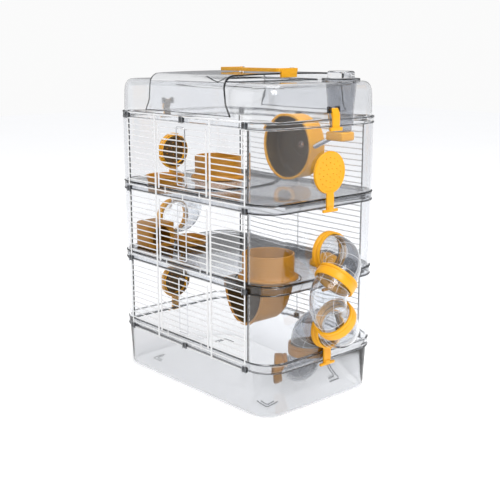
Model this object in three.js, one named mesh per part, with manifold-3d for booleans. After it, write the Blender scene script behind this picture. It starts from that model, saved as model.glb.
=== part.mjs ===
// Three-storey hamster cage: clear tray, end walls, smoke floors and hood, wire grilles,
// amber fittings and an outside tube run. Millimetres, +Z up, origin under the tray's middle.
// X runs along the length (the tube run is at +X), and -Y is the front with the doors.

import * as THREE from 'three';
import { mergeGeometries, mergeVertices } from 'three/addons/utils/BufferGeometryUtils.js';
import Module from 'manifold-3d';

const wasm = await Module();
wasm.setup();

// ---- driving dimensions -------------------------------------------------------------------
const GAP = 0.3;                 // clearance between touching pieces
const HALF_LENGTH = 200;         // outside of the end walls
const HALF_DEPTH = 129.5;        // outside of walls and bands, front and back
const CORNER_R = 41;             // plan radius of the wall corners
const BAND_OUT = 3;              // how far a band stands out past the end walls
const WALL = 2.2;                // clear plastic thickness
const BAND_LOW = 76;             // lower edge of the tray's rim band
const BAND_HEIGHT = 16;          // depth of the tray and floor rim bands
const ROOF_BAND_HEIGHT = 12;
const STOREY = 126;              // storey pitch
const TRAY_TAPER = 5;            // how far each tray side leans in at the bottom
const TRAY_FLOOR = 2.5;
const FLOOR_PLATE = 2.6;
const ROOF_TOP = 521;
const LID_CROWN = 534;
const LID_SKIRT = 471;

const PORT_RISE = 40;            // port centre above its band's top
const PORT_R = 30.3;
const RING_R = 33.5;             // amber tube rings and port caps
const TUBE_R = 29;
const TUBE_WALL = 2;
const RING_BORE = 29.5;
const JOIN_X = 206.5;            // where tubes meet in the right-hand port rings
const TUBE_STRAIGHT = 9;         // straight end of each elbow

const WIRE = 2.2;
const WIRE_PITCH = STOREY / 13;
const WIRE_LOW = 77;             // middle of the lowest wire
const GRILLE_Y = 132;            // middle of the wire planes
const POST_X = 154;              // outer upright wires
const PILL_X = [-75, 71];        // uprights beside the doors
const DOOR_X = [-66, 62];        // the doors' own side wires

const NEST = { x: 146, y: -76, collarR: 41, flangeR: 48, top: 40 };
const COLLAR = { x: -86, y: 14, collarR: 42, flangeR: 49, top: 40 };
const WHEEL = { x: 40, y: 62, z: 408, r: 57, depth: 40 };
const BOTTLE = { x: 160, y: 68, rTop: 25, rLow: 18.5, zLow: 441, flangeR: 31 };

const SEG = 20;                  // facets round a large circle
const SMALL_SEG = 8;             // facets round a small one

const bandZ = (level) => BAND_LOW + STOREY * level;
const floorZ = (level) => bandZ(level) + BAND_HEIGHT;
const portZ = (level) => floorZ(level) + PORT_RISE;

// ---- materials ----------------------------------------------------------------------------
const plastic = (color, roughness, opacity = 1) => new THREE.MeshStandardMaterial({
  color, roughness, metalness: 0, opacity, transparent: opacity < 1,
});
const wireMaterial = () => new THREE.MeshStandardMaterial({
  color: 0xb9bbbe, roughness: 0.25, metalness: 1,
});
const clear = () => plastic(0xe4e7ea, 0.12, 0.3);
const smoke = () => plastic(0x8b8d91, 0.15, 0.5);
const amber = () => plastic(0xf0ad1f, 0.38);
const amberInside = () => plastic(0xc98e2c, 0.42);

// ---- solids -------------------------------------------------------------------------------
function solid(geometry) {
  const bare = geometry.index ? geometry.toNonIndexed() : geometry.clone();
  for (const name of Object.keys(bare.attributes)) {
    if (name !== 'position') bare.deleteAttribute(name);
  }
  const merged = mergeVertices(bare, 1e-4);
  return new wasm.Manifold(new wasm.Mesh({
    numProp: 3,
    vertProperties: Float32Array.from(merged.attributes.position.array),
    triVerts: Uint32Array.from(merged.index.array),
  }));
}

function geometryOf(manifold) {
  const mesh = manifold.getMesh();
  const geometry = new THREE.BufferGeometry();
  geometry.setAttribute('position', new THREE.BufferAttribute(mesh.vertProperties, 3));
  geometry.setIndex(new THREE.BufferAttribute(mesh.triVerts, 1));
  geometry.computeVertexNormals();
  return geometry;
}

const join = (first, ...others) => others.reduce((sum, piece) => sum.add(piece), first);
const cut = (first, ...others) => others.reduce((sum, piece) => sum.subtract(piece), first);

function box(x0, x1, y0, y1, z0, z1) {
  const geometry = new THREE.BoxGeometry(x1 - x0, y1 - y0, z1 - z0);
  geometry.translate((x0 + x1) / 2, (y0 + y1) / 2, (z0 + z1) / 2);
  return solid(geometry);
}

// a shape in the XY plane, raised from z0 to z1
function raised(shape, z0, z1, segments = 4) {
  const geometry = new THREE.ExtrudeGeometry(shape, {
    depth: z1 - z0, bevelEnabled: false, curveSegments: segments,
  });
  geometry.translate(0, 0, z0);
  return solid(geometry);
}

// a shape drawn in (Y, Z) and pushed along X from x0 to x1
function pushedX(shape, x0, x1, segments = 6) {
  const geometry = new THREE.ExtrudeGeometry(shape, {
    depth: x1 - x0, bevelEnabled: false, curveSegments: segments,
  });
  geometry.applyMatrix4(new THREE.Matrix4().set(
    0, 0, 1, x0,
    1, 0, 0, 0,
    0, 1, 0, 0,
    0, 0, 0, 1,
  ));
  return solid(geometry);
}

// a shape drawn in (X, Z) and pushed along Y from y0 to y1
function pushedY(shape, y0, y1, segments = 6) {
  const geometry = new THREE.ExtrudeGeometry(shape, {
    depth: y1 - y0, bevelEnabled: false, curveSegments: segments,
  });
  geometry.applyMatrix4(new THREE.Matrix4().set(
    1, 0, 0, 0,
    0, 0, -1, y1,
    0, 1, 0, 0,
    0, 0, 0, 1,
  ));
  return solid(geometry);
}

const AXES = {
  x: new THREE.Matrix4().makeRotationY(Math.PI / 2),
  y: new THREE.Matrix4().makeRotationX(-Math.PI / 2),
  z: new THREE.Matrix4(),
};

// a turned piece: profile points are [radius, height along the axis]
function turned(profile, [x, y, z], axis = 'z', segments = SEG) {
  const geometry = new THREE.LatheGeometry(
    profile.map(([r, h]) => new THREE.Vector2(r, h)), segments,
  );
  geometry.rotateX(Math.PI / 2);
  geometry.applyMatrix4(AXES[axis]);
  geometry.translate(x, y, z);
  return solid(geometry);
}

const rod = (r, from, to, place, axis, segments = SEG) => turned(
  [[0, from], [r, from], [r, to], [0, to]], place, axis, segments,
);

const hoop = (inner, outer, from, to, place, axis, segments = SEG) => turned(
  [[inner, from], [outer, from], [outer, to], [inner, to], [inner, from]], place, axis, segments,
);

function roundedRect(halfX, halfY, radius) {
  const shape = new THREE.Shape();
  shape.moveTo(halfX, -halfY + radius);
  shape.absarc(halfX - radius, halfY - radius, radius, 0, Math.PI / 2);
  shape.absarc(-halfX + radius, halfY - radius, radius, Math.PI / 2, Math.PI);
  shape.absarc(-halfX + radius, -halfY + radius, radius, Math.PI, 1.5 * Math.PI);
  shape.absarc(halfX - radius, -halfY + radius, radius, 1.5 * Math.PI, 2 * Math.PI);
  return shape;
}

// the cage's plan outline, moved in by inset; bands stand out past it at the ends only
function plan(inset, endsOut = 0) {
  return roundedRect(
    HALF_LENGTH + endsOut - inset, HALF_DEPTH - inset, CORNER_R - inset + endsOut / 2,
  );
}

// closed skin through rounded-rectangle rings: levels are [z, inset]
function lofted(levels, cornerSegments = 4) {
  const rings = levels.map(([z, inset]) => plan(inset).getPoints(cornerSegments)
    .slice(0, -1).map((p) => [p.x, p.y, z]));
  const count = rings[0].length;
  const vertices = rings.flat();
  const faces = [];
  for (let level = 0; level + 1 < rings.length; level += 1) {
    for (let k = 0; k < count; k += 1) {
      const a = level * count + k;
      const b = level * count + ((k + 1) % count);
      faces.push([a, b, b + count], [a, b + count, a + count]);
    }
  }
  const top = (rings.length - 1) * count;
  for (let k = 1; k + 1 < count; k += 1) {
    faces.push([0, k + 1, k], [top, top + k, top + k + 1]);
  }
  return new wasm.Manifold(new wasm.Mesh({
    numProp: 3,
    vertProperties: Float32Array.from(vertices.flat()),
    triVerts: Uint32Array.from(faces.flat()),
  }));
}

// ---- the model ----------------------------------------------------------------------------
const group = new THREE.Group();

function add(name, manifold, material) {
  const mesh = new THREE.Mesh(geometryOf(manifold), material);
  mesh.name = name;
  group.add(mesh);
}

function baseTray() {
  const sides = lofted([[0, TRAY_TAPER + 5], [3, TRAY_TAPER + 1.4], [9, TRAY_TAPER], [BAND_LOW + 1, 1]]);
  const hollow = lofted([
    [TRAY_FLOOR, TRAY_TAPER + 6], [9, TRAY_TAPER + WALL], [BAND_LOW + 0.5, 1 + WALL],
  ]);
  const band = raised(plan(0, BAND_OUT), BAND_LOW, floorZ(0));
  const bandHollow = raised(plan(WALL + GAP), BAND_LOW + 0.4, floorZ(0) + 1);
  const tray = cut(join(sides, band), hollow, bandHollow);
  const mark = { x: 158, y: 88, leg: 28, wide: 3, high: 1.2 };
  const marks = [];
  for (const sx of [-1, 1]) {
    for (const sy of [-1, 1]) {
      const legX = [sx * mark.x, sx * (mark.x - mark.leg)].sort((a, b) => a - b);
      const legY = [sy * mark.y, sy * (mark.y - mark.leg)].sort((a, b) => a - b);
      const wideX = [sx * mark.x, sx * (mark.x - mark.wide)].sort((a, b) => a - b);
      const wideY = [sy * mark.y, sy * (mark.y - mark.wide)].sort((a, b) => a - b);
      marks.push(box(...legX, ...wideY, TRAY_FLOOR - 1, TRAY_FLOOR + mark.high));
      marks.push(box(...wideX, ...legY, TRAY_FLOOR - 1, TRAY_FLOOR + mark.high));
    }
  }
  return join(tray, ...marks);
}

// one end of a storey: a flat wall that bends round both corners, with a round port
function endWall(side, level) {
  const startX = HALF_LENGTH - CORNER_R;
  const arcY = HALF_DEPTH - CORNER_R;
  const innerR = CORNER_R - WALL;
  const shape = new THREE.Shape();
  shape.moveTo(startX, -HALF_DEPTH);
  shape.absarc(startX, -arcY, CORNER_R, -Math.PI / 2, 0);
  shape.absarc(startX, arcY, CORNER_R, 0, Math.PI / 2);
  shape.lineTo(startX, HALF_DEPTH - WALL);
  shape.absarc(startX, arcY, innerR, Math.PI / 2, 0, true);
  shape.absarc(startX, -arcY, innerR, 0, -Math.PI / 2, true);
  const wall = raised(shape, floorZ(level) + GAP, bandZ(level + 1) - GAP);
  const port = rod(PORT_R, 190, 210, [0, 0, portZ(level)], 'x', SEG);
  const right = cut(wall, port);
  return side > 0 ? right : right.rotate([0, 0, 180]);
}

// a smoke floor: a plate with a deep rim band under its edge
function storeyFloor(level, holes) {
  const skirt = raised(plan(0, BAND_OUT), bandZ(level), floorZ(level));
  const hollow = raised(plan(WALL + GAP), bandZ(level) - 1, floorZ(level) - FLOOR_PLATE);
  return cut(skirt, hollow, ...holes.map(({ x, y, r }) => (
    rod(r, bandZ(level) - 1, floorZ(level) + 1, [x, y, 0], 'z')
  )));
}

const STRAP_Y = 10;
const STRAP_WIDTH = 15;
const STRAP_PIVOT = { x: 200.5, z: 480 };

function strapCheeks(side) {
  const middle = side * STRAP_Y;
  const half = STRAP_WIDTH / 2 + GAP;
  const cheeks = [-1, 1].map((s) => {
    const faces = [middle + s * half, middle + s * (half + 3)].sort((a, b) => a - b);
    const ends = [side * 194.5, side * 204].sort((a, b) => a - b);
    return box(...ends, ...faces, STRAP_PIVOT.z - 5, STRAP_PIVOT.z + 5);
  });
  const hole = rod(2.3, -half - 2.6, half + 2.6,
    [side * STRAP_PIVOT.x, middle, STRAP_PIVOT.z], 'y', SMALL_SEG);
  return { cheeks, hole };
}

const ROOF_OPENING = { x0: -70, x1: 88, halfY: 95, r: 14 };

function roofHood() {
  const band = raised(plan(0, BAND_OUT), bandZ(3), bandZ(3) + ROOF_BAND_HEIGHT);
  const shell = lofted([
    [bandZ(3) + 2, 2.5], [ROOF_TOP - 17, 3.5], [ROOF_TOP - 8, 6], [ROOF_TOP - 2.4, 12], [ROOF_TOP, 20],
  ]);
  const hollow = lofted([
    [bandZ(3) - 1, 2.5 + WALL], [ROOF_TOP - 18, 3.5 + WALL], [ROOF_TOP - 10, 8.6],
    [ROOF_TOP - 5, 14], [ROOF_TOP - WALL, 22],
  ]);
  const { x0, x1, halfY, r } = ROOF_OPENING;
  const openingShape = roundedRect((x1 - x0) / 2, halfY, r);
  const opening = raised(openingShape, ROOF_TOP - 30, ROOF_TOP + 10, 3)
    .translate([(x0 + x1) / 2, 0, 0]);
  const socket = rod(BOTTLE.rTop + 0.8, ROOF_TOP - 30, ROOF_TOP + 10, [BOTTLE.x, BOTTLE.y, 0], 'z');
  const right = strapCheeks(1);
  const left = strapCheeks(-1);
  const hood = join(band, shell);
  return cut(
    join(cut(hood, hollow), ...right.cheeks, ...left.cheeks),
    opening, socket, right.hole, left.hole,
  );
}

const LID = { x0: -87, x1: 106, flare: 14, outerY: 131.6, thick: 2.2, corner: 19, rise: 1.5 };
const HANDLE = {
  x0: -36, x1: 110.6, y: 18, front: -24, arm: 9, heel: 3.4, thick: 5.6, z: 538.6, pinR: 2, lug: 5,
};

function lidSection(inset) {
  const y = LID.outerY - inset;
  const top = LID_CROWN - inset;
  const shoulder = top - LID.rise;
  const corner = LID.corner;
  const points = [];
  for (let k = 0; k <= 6; k += 1) {
    const turn = (k / 6) * (Math.PI / 2);
    points.push([-y + corner * (1 - Math.cos(turn)), shoulder - corner * (1 - Math.sin(turn))]);
  }
  const reach = y - corner;
  for (let k = 1; k < 10; k += 1) {
    const across = -reach + (2 * reach * k) / 10;
    points.push([across, shoulder + LID.rise * (1 - (across / reach) ** 2)]);
  }
  const mirrored = points.slice(0, 7).map(([py, pz]) => [-py, pz]).reverse();
  return [[-y, LID_SKIRT], ...points, ...mirrored, [y, LID_SKIRT]];
}

function roofLid() {
  const outer = lidSection(0);
  const inner = lidSection(LID.thick).reverse();
  const section = new THREE.Shape([...outer, ...inner].map(([y, z]) => new THREE.Vector2(y, z)));
  const arch = pushedX(section, LID.x0 - LID.flare, LID.x1 + LID.flare);
  const edge = new THREE.Shape();
  edge.moveTo(LID.x0 - LID.flare, LID_SKIRT - 1);
  edge.lineTo(LID.x1 + LID.flare, LID_SKIRT - 1);
  edge.quadraticCurveTo(LID.x1 + 1, LID_SKIRT + 12, LID.x1, LID_SKIRT + 34);
  edge.lineTo(LID.x1, LID_CROWN + 5);
  edge.lineTo(LID.x0, LID_CROWN + 5);
  edge.lineTo(LID.x0, LID_SKIRT + 34);
  edge.quadraticCurveTo(LID.x0 - 1, LID_SKIRT + 12, LID.x0 - LID.flare, LID_SKIRT - 1);
  const outline = pushedY(edge, -LID.outerY - 5, LID.outerY + 5, 4);
  const { x0, x1, y, arm, z, pinR, lug } = HANDLE;
  const inner0 = x0 + arm + GAP;
  const inner1 = x1 - arm - GAP;
  const lugBox = (from, to) => box(from, to, y - 5, y + 5, LID_CROWN - 2.6, z + 3.4);
  const lugs = [lugBox(inner0, inner0 + lug), lugBox(inner1 - lug, inner1)];
  const pinHole = (from, to) => rod(pinR + GAP, from, to, [0, y, z], 'x', SMALL_SEG);
  return cut(
    join(arch.intersect(outline), ...lugs), pinHole(inner0 - 1, inner0 + 4), pinHole(inner1 - 4, inner1 + 1),
  );
}

// a bail: two arms on inward pins and a grip bar, folded flat toward the front;
// a lip along the right arm turns down past the end of the lid
function carryHandle() {
  const { x0, x1, y, front, arm, heel, thick, z, pinR } = HANDLE;
  const back = y + heel;
  const shape = new THREE.Shape();
  shape.moveTo(x0, front + 10);
  shape.lineTo(x0, back - heel);
  shape.absarc(x0 + heel, back - heel, heel, Math.PI, Math.PI / 2, true);
  shape.lineTo(x0 + arm, back);
  shape.lineTo(x0 + arm, front + arm + 7);
  shape.quadraticCurveTo(x0 + arm, front + arm, x0 + arm + 7, front + arm);
  shape.lineTo(x1 - arm - 7, front + arm);
  shape.quadraticCurveTo(x1 - arm, front + arm, x1 - arm, front + arm + 7);
  shape.lineTo(x1 - arm, back);
  shape.lineTo(x1 - heel, back);
  shape.absarc(x1 - heel, back - heel, heel, Math.PI / 2, 0, true);
  shape.lineTo(x1, front + 10);
  shape.quadraticCurveTo(x1, front, x1 - 10, front);
  shape.lineTo(x0 + 10, front);
  shape.quadraticCurveTo(x0, front, x0, front + 10);
  const bail = raised(shape, z - thick / 2, z + thick / 2, 3);
  const lip = box(LID.x1 + 0.8, x1, front + 8, back - heel, LID_CROWN - 7, z);
  const pin = (from, to) => rod(pinR, from, to, [0, y, z], 'x', SMALL_SEG);
  return join(bail, lip, pin(x0 + arm - 2, x0 + arm + 3.6), pin(x1 - arm - 3.6, x1 - arm + 2));
}

// a strap on a pin at the hood's end, curved out over the roof band, with a T grip below it
function roofStrap(side) {
  const { x, z } = STRAP_PIVOT;
  const low = bandZ(3);
  const shape = new THREE.Shape();
  shape.moveTo(x - 2.6, z - 3);
  shape.lineTo(x - 2.6, z);
  shape.absarc(x, z, 2.6, Math.PI, 0, true);
  shape.quadraticCurveTo(x + 7, z - 4, x + 6.6, low + 10);
  shape.lineTo(x + 6.2, low - 1);
  shape.lineTo(x + 3.4, low - 1);
  shape.lineTo(x + 3.4, low + 12);
  shape.quadraticCurveTo(x + 2.8, z - 6, x - 2.6, z - 3);
  const half = STRAP_WIDTH / 2;
  const strap = pushedY(shape, -half, half, 4);
  const grip = box(x + 3.4, x + 7.6, -half - 5, half + 5, low - 6, low - 0.6);
  const pin = rod(2, -half - 2.4, half + 2.4, [x, 0, z], 'y', SMALL_SEG);
  const right = join(strap, grip, pin).translate([0, STRAP_Y, 0]);
  return side > 0 ? right : right.rotate([0, 0, 180]);
}

// ---- wire panels: flat lattices in the XZ plane ---------------------------------------------
// wires: first and last wire number; uprights: their middles in x; y: middle of the panel
function lattice(first, last, uprights, wide, y) {
  const zOf = (k) => WIRE_LOW + WIRE_PITCH * k;
  const holes = [];
  for (let k = first; k < last; k += 1) {
    for (let u = 0; u + 1 < uprights.length; u += 1) {
      const width = uprights[u + 1] - uprights[u] - wide;
      const hole = new THREE.BoxGeometry(width, 3 * WIRE, WIRE_PITCH - WIRE);
      hole.translate((uprights[u] + uprights[u + 1]) / 2, y, zOf(k + 0.5));
      holes.push(hole);
    }
  }
  const plate = box(
    uprights[0] - wide / 2, uprights[uprights.length - 1] + wide / 2, y - WIRE / 2, y + WIRE / 2,
    zOf(first) - WIRE / 2, zOf(last) + WIRE / 2,
  );
  return cut(plate, solid(mergeGeometries(holes)));
}

const LAST_WIRE = 40;
const POST_WIDE = 3;

// a clip block that hooks the grille's edge to the tray or the roof band
function clip(x, z, front) {
  const y = front ? [-GRILLE_Y - 3.4, -GRILLE_Y + 1] : [GRILLE_Y - 1, GRILLE_Y + 3.4];
  return box(x - 6, x + 6, ...y, z - 3, z + 3);
}

const CLIP_LOW = 75;
const CLIP_HIGH = 466;

function frontGrilleSide(side) {
  const uprights = side < 0 ? [-POST_X, PILL_X[0]] : [PILL_X[1], POST_X];
  const panel = lattice(0, LAST_WIRE, uprights, POST_WIDE, -GRILLE_Y);
  const corner = side * POST_X;
  return join(panel, clip(corner, CLIP_LOW, true), clip(corner, CLIP_HIGH, true));
}

// the two wires between one door and the next, tied by the middle upright
function frontGrilleBridge(level) {
  const x0 = PILL_X[0] + POST_WIDE / 2 + GAP;
  const x1 = PILL_X[1] - POST_WIDE / 2 - GAP;
  const first = 13 * level;
  const panel = lattice(first, first + 1, [x0 + 1, 0, x1 - 1], 2, -GRILLE_Y);
  if (level === 0) return join(panel, clip(0, CLIP_LOW, true));
  if (level === 3) return join(panel, clip(0, CLIP_HIGH, true));
  return panel;
}

function backGrille() {
  const panel = lattice(0, LAST_WIRE, [-POST_X, 0, POST_X], POST_WIDE, GRILLE_Y);
  const clips = [-POST_X, 0, POST_X].flatMap((x) => [clip(x, CLIP_LOW, false), clip(x, CLIP_HIGH, false)]);
  return join(panel, ...clips);
}

function door(level) {
  const first = 13 * level + 2;
  return lattice(first, first + 10, DOOR_X, POST_WIDE, -GRILLE_Y);
}

const LATCH = { halfX: 11, wire: 2, clear: 1.1, curl: 4.2 };

// two long wires in front of the door, joined at both ends, with a curl at the top;
// it swings on the door's top wire, so it stands clear of that wire's corners
function doorLatch(level) {
  const { halfX, wire, clear: standOff, curl } = LATCH;
  const low = WIRE_LOW + WIRE_PITCH * (13 * level + 3) - 4;
  const high = WIRE_LOW + WIRE_PITCH * (13 * level + 13) - 6.5;
  const front = -GRILLE_Y - WIRE / 2 - standOff;
  const wires = cut(
    box(-halfX - wire / 2, halfX + wire / 2, front - wire, front, low, high),
    box(-halfX + wire / 2, halfX - wire / 2, front - wire - 1, front + 1, low + wire, high - wire),
  );
  return join(wires, box(2, halfX + wire / 2, front - curl, front, high - 1.6, high + 1));
}

// ---- amber fittings -------------------------------------------------------------------------
const STRAP_X = 204;             // straps pass outside the bands here

// the strap and T end that hang from a port cap or ring, for the right-hand end
function hangingStrap(level) {
  const z = portZ(level);
  const low = bandZ(level) - 1;
  const strap = box(STRAP_X, STRAP_X + 2.4, -8, 8, low - 4, z - RING_R + 4);
  const grip = box(STRAP_X, STRAP_X + 5, -17, 17, low - 5, low);
  return join(strap, grip);
}

function portCap(side, level) {
  const z = portZ(level);
  const disc = rod(RING_R, HALF_LENGTH + GAP, STRAP_X + 2.4, [0, 0, z], 'x');
  const plug = hoop(24, 28.6, HALF_LENGTH - 5, HALF_LENGTH + 1, [0, 0, z], 'x');
  const right = join(disc, plug, hangingStrap(level));
  return side > 0 ? right : right.rotate([0, 0, 180]);
}

function portRing(side, level) {
  const z = portZ(level);
  const flange = hoop(RING_BORE, RING_R, HALF_LENGTH + GAP, HALF_LENGTH + 15, [0, 0, z], 'x');
  const right = join(flange, hangingStrap(level));
  return side > 0 ? right : right.rotate([0, 0, 180]);
}

// ---- tubes ------------------------------------------------------------------------------------
const RUN = (portZ(1) - portZ(0)) / (2 * Math.SQRT2);   // one elbow's reach, end to corner
const DOWN_FRONT = [0, -Math.SQRT1_2, -Math.SQRT1_2];
const DOWN_BACK = [0, Math.SQRT1_2, -Math.SQRT1_2];
const LOW_JOIN = [JOIN_X - GAP - RUN, 0, portZ(0) - RUN];
const MOUTH_TURN = Math.PI * (41 / 180);                 // the mouth looks inward and forward
const MOUTH_WAY = [-Math.sin(MOUTH_TURN), -Math.cos(MOUTH_TURN), 0];

const vec = (p) => new THREE.Vector3(...p);
const along = (p, way, distance) => vec(p).addScaledVector(vec(way), distance).toArray();

// a clear elbow from start, setting out along one way and leaving along the other
function elbow(start, wayIn, wayOut) {
  const bend = RUN - TUBE_STRAIGHT;
  const short = GAP / 2;
  const corner = vec(start).addScaledVector(vec(wayIn), RUN);
  const bendStart = vec(corner).addScaledVector(vec(wayIn), -bend);
  const centre = vec(bendStart).addScaledVector(vec(wayOut), bend);
  const path = new THREE.Curve();
  const arcLength = bend * (Math.PI / 2);
  const straight = TUBE_STRAIGHT - short;
  const total = arcLength + 2 * straight;
  path.getPoint = (t, target = new THREE.Vector3()) => {
    const s = t * total;
    if (s <= straight) {
      return target.copy(bendStart).addScaledVector(vec(wayIn), s - straight);
    }
    const turn = Math.min((s - straight) / bend, Math.PI / 2);
    target.copy(centre).addScaledVector(vec(wayOut), -bend * Math.cos(turn));
    target.addScaledVector(vec(wayIn), bend * Math.sin(turn));
    return target.addScaledVector(vec(wayOut), Math.max(0, s - straight - arcLength));
  };
  path.getTangent = (t, target = new THREE.Vector3()) => {
    const turn = Math.min(Math.max((t * total - straight) / bend, 0), Math.PI / 2);
    target.copy(vec(wayIn)).multiplyScalar(Math.cos(turn));
    return target.addScaledVector(vec(wayOut), Math.sin(turn));
  };
  path.getPointAt = path.getPoint;
  path.getTangentAt = path.getTangent;
  path.getSpacedPoints = (count) => (
    Array.from({ length: count + 1 }, (_, k) => path.getPoint(k / count)));
  const tube = new THREE.Shape();
  tube.absarc(0, 0, TUBE_R, 0, 2 * Math.PI);
  const bore = new THREE.Path();
  bore.absarc(0, 0, TUBE_R - TUBE_WALL, 0, 2 * Math.PI, true);
  tube.holes.push(bore);
  return solid(new THREE.ExtrudeGeometry(tube, {
    steps: 6, bevelEnabled: false, curveSegments: 8, extrudePath: path,
  }));
}

// a tube ring centred on a joint between two elbows
function tubeRing(middle, way, half = 9) {
  const geometry = new THREE.LatheGeometry([
    [RING_BORE, -half], [RING_R, -half], [RING_R, half], [RING_BORE, half], [RING_BORE, -half],
  ].map(([r, h]) => new THREE.Vector2(r, h)), SEG);
  const turn = new THREE.Quaternion().setFromUnitVectors(new THREE.Vector3(0, 1, 0), vec(way));
  geometry.applyQuaternion(turn);
  geometry.translate(...middle);
  return solid(geometry);
}

// ---- things inside ----------------------------------------------------------------------------
function flangedCollar({ x, y, collarR, flangeR, top }, level, spigot) {
  const z = floorZ(level) + GAP;
  const bore = collarR - 3;
  return turned([
    [bore, z - spigot], [collarR - 1, z - spigot], [collarR - 1, z], [flangeR, z],
    [flangeR, z + 3.6], [collarR, z + 3.6], [collarR, z + top], [bore, z + top], [bore, z - spigot],
  ], [x, y, 0]);
}

const CHAMBER = { x: 136, halfX: 44, depth: 68, front: -119, back: -44, wall: 2.6 };

// the sleeping chamber under the middle floor: a hanging scoop, open at the front
function nestChamber() {
  const top = floorZ(1) - FLOOR_PLATE - GAP;
  const { x, halfX, depth, front, back, wall } = CHAMBER;
  const scoop = (inset, y0, y1, round) => {
    const shape = new THREE.Shape();
    shape.absellipse(x, top, halfX - inset, depth - inset, Math.PI, 2 * Math.PI);
    shape.lineTo(x - halfX + inset, top);
    const trough = pushedY(shape, y0, y1, 8);
    const ball = new THREE.SphereGeometry(1, 16, 8);
    ball.rotateX(Math.PI / 2);
    ball.scale(halfX - inset, round, depth - inset);
    ball.translate(x, y1 - 0.01, top);
    return join(trough, solid(ball));
  };
  const outer = scoop(0, front, back - 18, 20);
  const inner = scoop(wall, front - 5, back - 18, 17.5);
  const above = box(0, 250, -200, 0, top, top + 150);
  return cut(cut(outer, above), inner);
}

function nest() {
  const collar = flangedCollar(NEST, 1, FLOOR_PLATE + 3.5);
  const throat = rod(NEST.collarR - 3, 140, 300, [NEST.x, NEST.y, 0], 'z');
  return cut(join(nestChamber(), collar), throat.intersect(box(0, 250, -200, 0, 206, 300)));
}

// a corner house: rounded back corner, arched door toward +X
function cornerHouse() {
  const x0 = -195;
  const x1 = -139;
  const y0 = -104;
  const y1 = -48;
  const z0 = floorZ(1) + GAP;
  const high = 44;
  const wall = 2.4;
  const footprint = (inset) => {
    const shape = new THREE.Shape();
    shape.moveTo(x1 - inset, y0 + inset);
    shape.lineTo(x1 - inset, y1 - inset);
    shape.lineTo(x0 + inset, y1 - inset);
    shape.lineTo(x0 + inset, y0 + 26);
    shape.absarc(x0 + 26, y0 + 26, 26 - inset, Math.PI, 1.5 * Math.PI);
    shape.lineTo(x1 - inset, y0 + inset);
    return shape;
  };
  const shell = raised(footprint(0), z0, z0 + high);
  const hollow = raised(footprint(wall), z0 + wall, z0 + high - wall);
  const arch = new THREE.Shape();
  const middle = (y0 + y1) / 2;
  arch.moveTo(middle - 19, z0 + 8);
  arch.lineTo(middle + 19, z0 + 8);
  arch.lineTo(middle + 19, z0 + 20);
  arch.absarc(middle, z0 + 20, 19, 0, Math.PI);
  return cut(shell, hollow, pushedX(arch, x1 - 10, x1 + 5, 8));
}

function bowl([x, y, z], r, high) {
  const wall = 2.4;
  return turned([
    [0, z], [r - 3, z], [r, z + high - 2], [r, z + high], [r - wall, z + high],
    [r - 3 - wall, z + wall], [0, z + wall],
  ], [x, y, 0]);
}

const BOWLS = {
  upper: { x: -104, y: -91, z: floorZ(2) - 16, r: 32, high: 29 },
  middle: { x: -130, y: -16, z: floorZ(1) + GAP, r: 30, high: 14 },
};

// a low perforated dome that covers the floor beside the right-hand port
function domeCover() {
  const z = floorZ(1) + GAP;
  const profile = [[0, z + 17]];
  for (let k = 1; k <= 5; k += 1) {
    const turn = (k / 5) * (Math.PI / 2);
    profile.push([27 * Math.sin(turn), z + 3 + 14 * Math.cos(turn)]);
  }
  profile.push([27, z], [24.6, z], [24.6, z + 3]);
  for (let k = 4; k >= 1; k -= 1) {
    const turn = (k / 5) * (Math.PI / 2);
    profile.push([24.6 * Math.sin(turn), z + 3 + 11.6 * Math.cos(turn)]);
  }
  profile.push([0, z + 14.6]);
  return turned(profile.reverse(), [146, 54, 0], 'z', 20);
}

// ---- wheel ------------------------------------------------------------------------------------
function wheelDrum() {
  const { x, z, y, r, depth } = WHEEL;
  return turned([
    [4.2, depth - 2.4], [r - 2, depth - 2.4], [r - 2, 2], [r - 2.6, 0], [r + 1.4, 0], [r + 1.4, 3],
    [r, 3.6], [r, depth - 2], [r - 2, depth], [11, depth], [9, depth + 6], [4.2, depth + 6],
    [4.2, depth - 2.4],
  ], [x, y, z], 'y', 24);
}

function wheelAxle() {
  const { x, z, y, depth } = WHEEL;
  return turned([
    [0, depth - 7], [7, depth - 7], [7.5, depth - 3.2], [3.9, depth - 2.8], [3.9, depth + 7],
    [3.2, depth + 7], [3.2, depth + 19.4], [0, depth + 19.4],
  ], [x, y, z], 'y', 16);
}

function wheelBracket() {
  const { x, z } = WHEEL;
  const plate = pushedY(roundedRect(17, 30, 8), 0, 4, 3).translate([x, 0, z]);
  const boss = turned([[0, -9], [9, -9], [10, 0.5], [0, 0.5]], [x, 0, z], 'y', 16);
  const socket = rod(3.5, -10, -1.4, [x, 0, z], 'y', SMALL_SEG);
  const place = GRILLE_Y - WIRE / 2 - GAP - 4;
  return cut(join(plate, boss), socket).translate([0, place, 0]);
}

// ---- water bottle -------------------------------------------------------------------------------
function bottleBody() {
  const { x, y, rTop, rLow, zLow, flangeR } = BOTTLE;
  const wall = 1.8;
  const rim = ROOF_TOP + GAP;
  return turned([
    [0, zLow], [rLow, zLow], [rTop, rim], [flangeR, rim], [flangeR, rim + 4.5], [rTop - wall, rim + 4.5],
    [rTop - wall - 0.4, rim], [rLow - wall, zLow + wall], [0, zLow + wall],
  ], [x, y, 0]);
}

function bottleLid() {
  const z = ROOF_TOP + GAP + 4.5 + GAP;
  const plug = BOTTLE.rTop - 1.8 - 1.6;
  return turned([
    [0, z - 4], [plug, z - 4], [plug, z], [22, z], [22, z + 9], [20, z + 11], [0, z + 11],
  ], [BOTTLE.x, BOTTLE.y, 0]);
}

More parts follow.
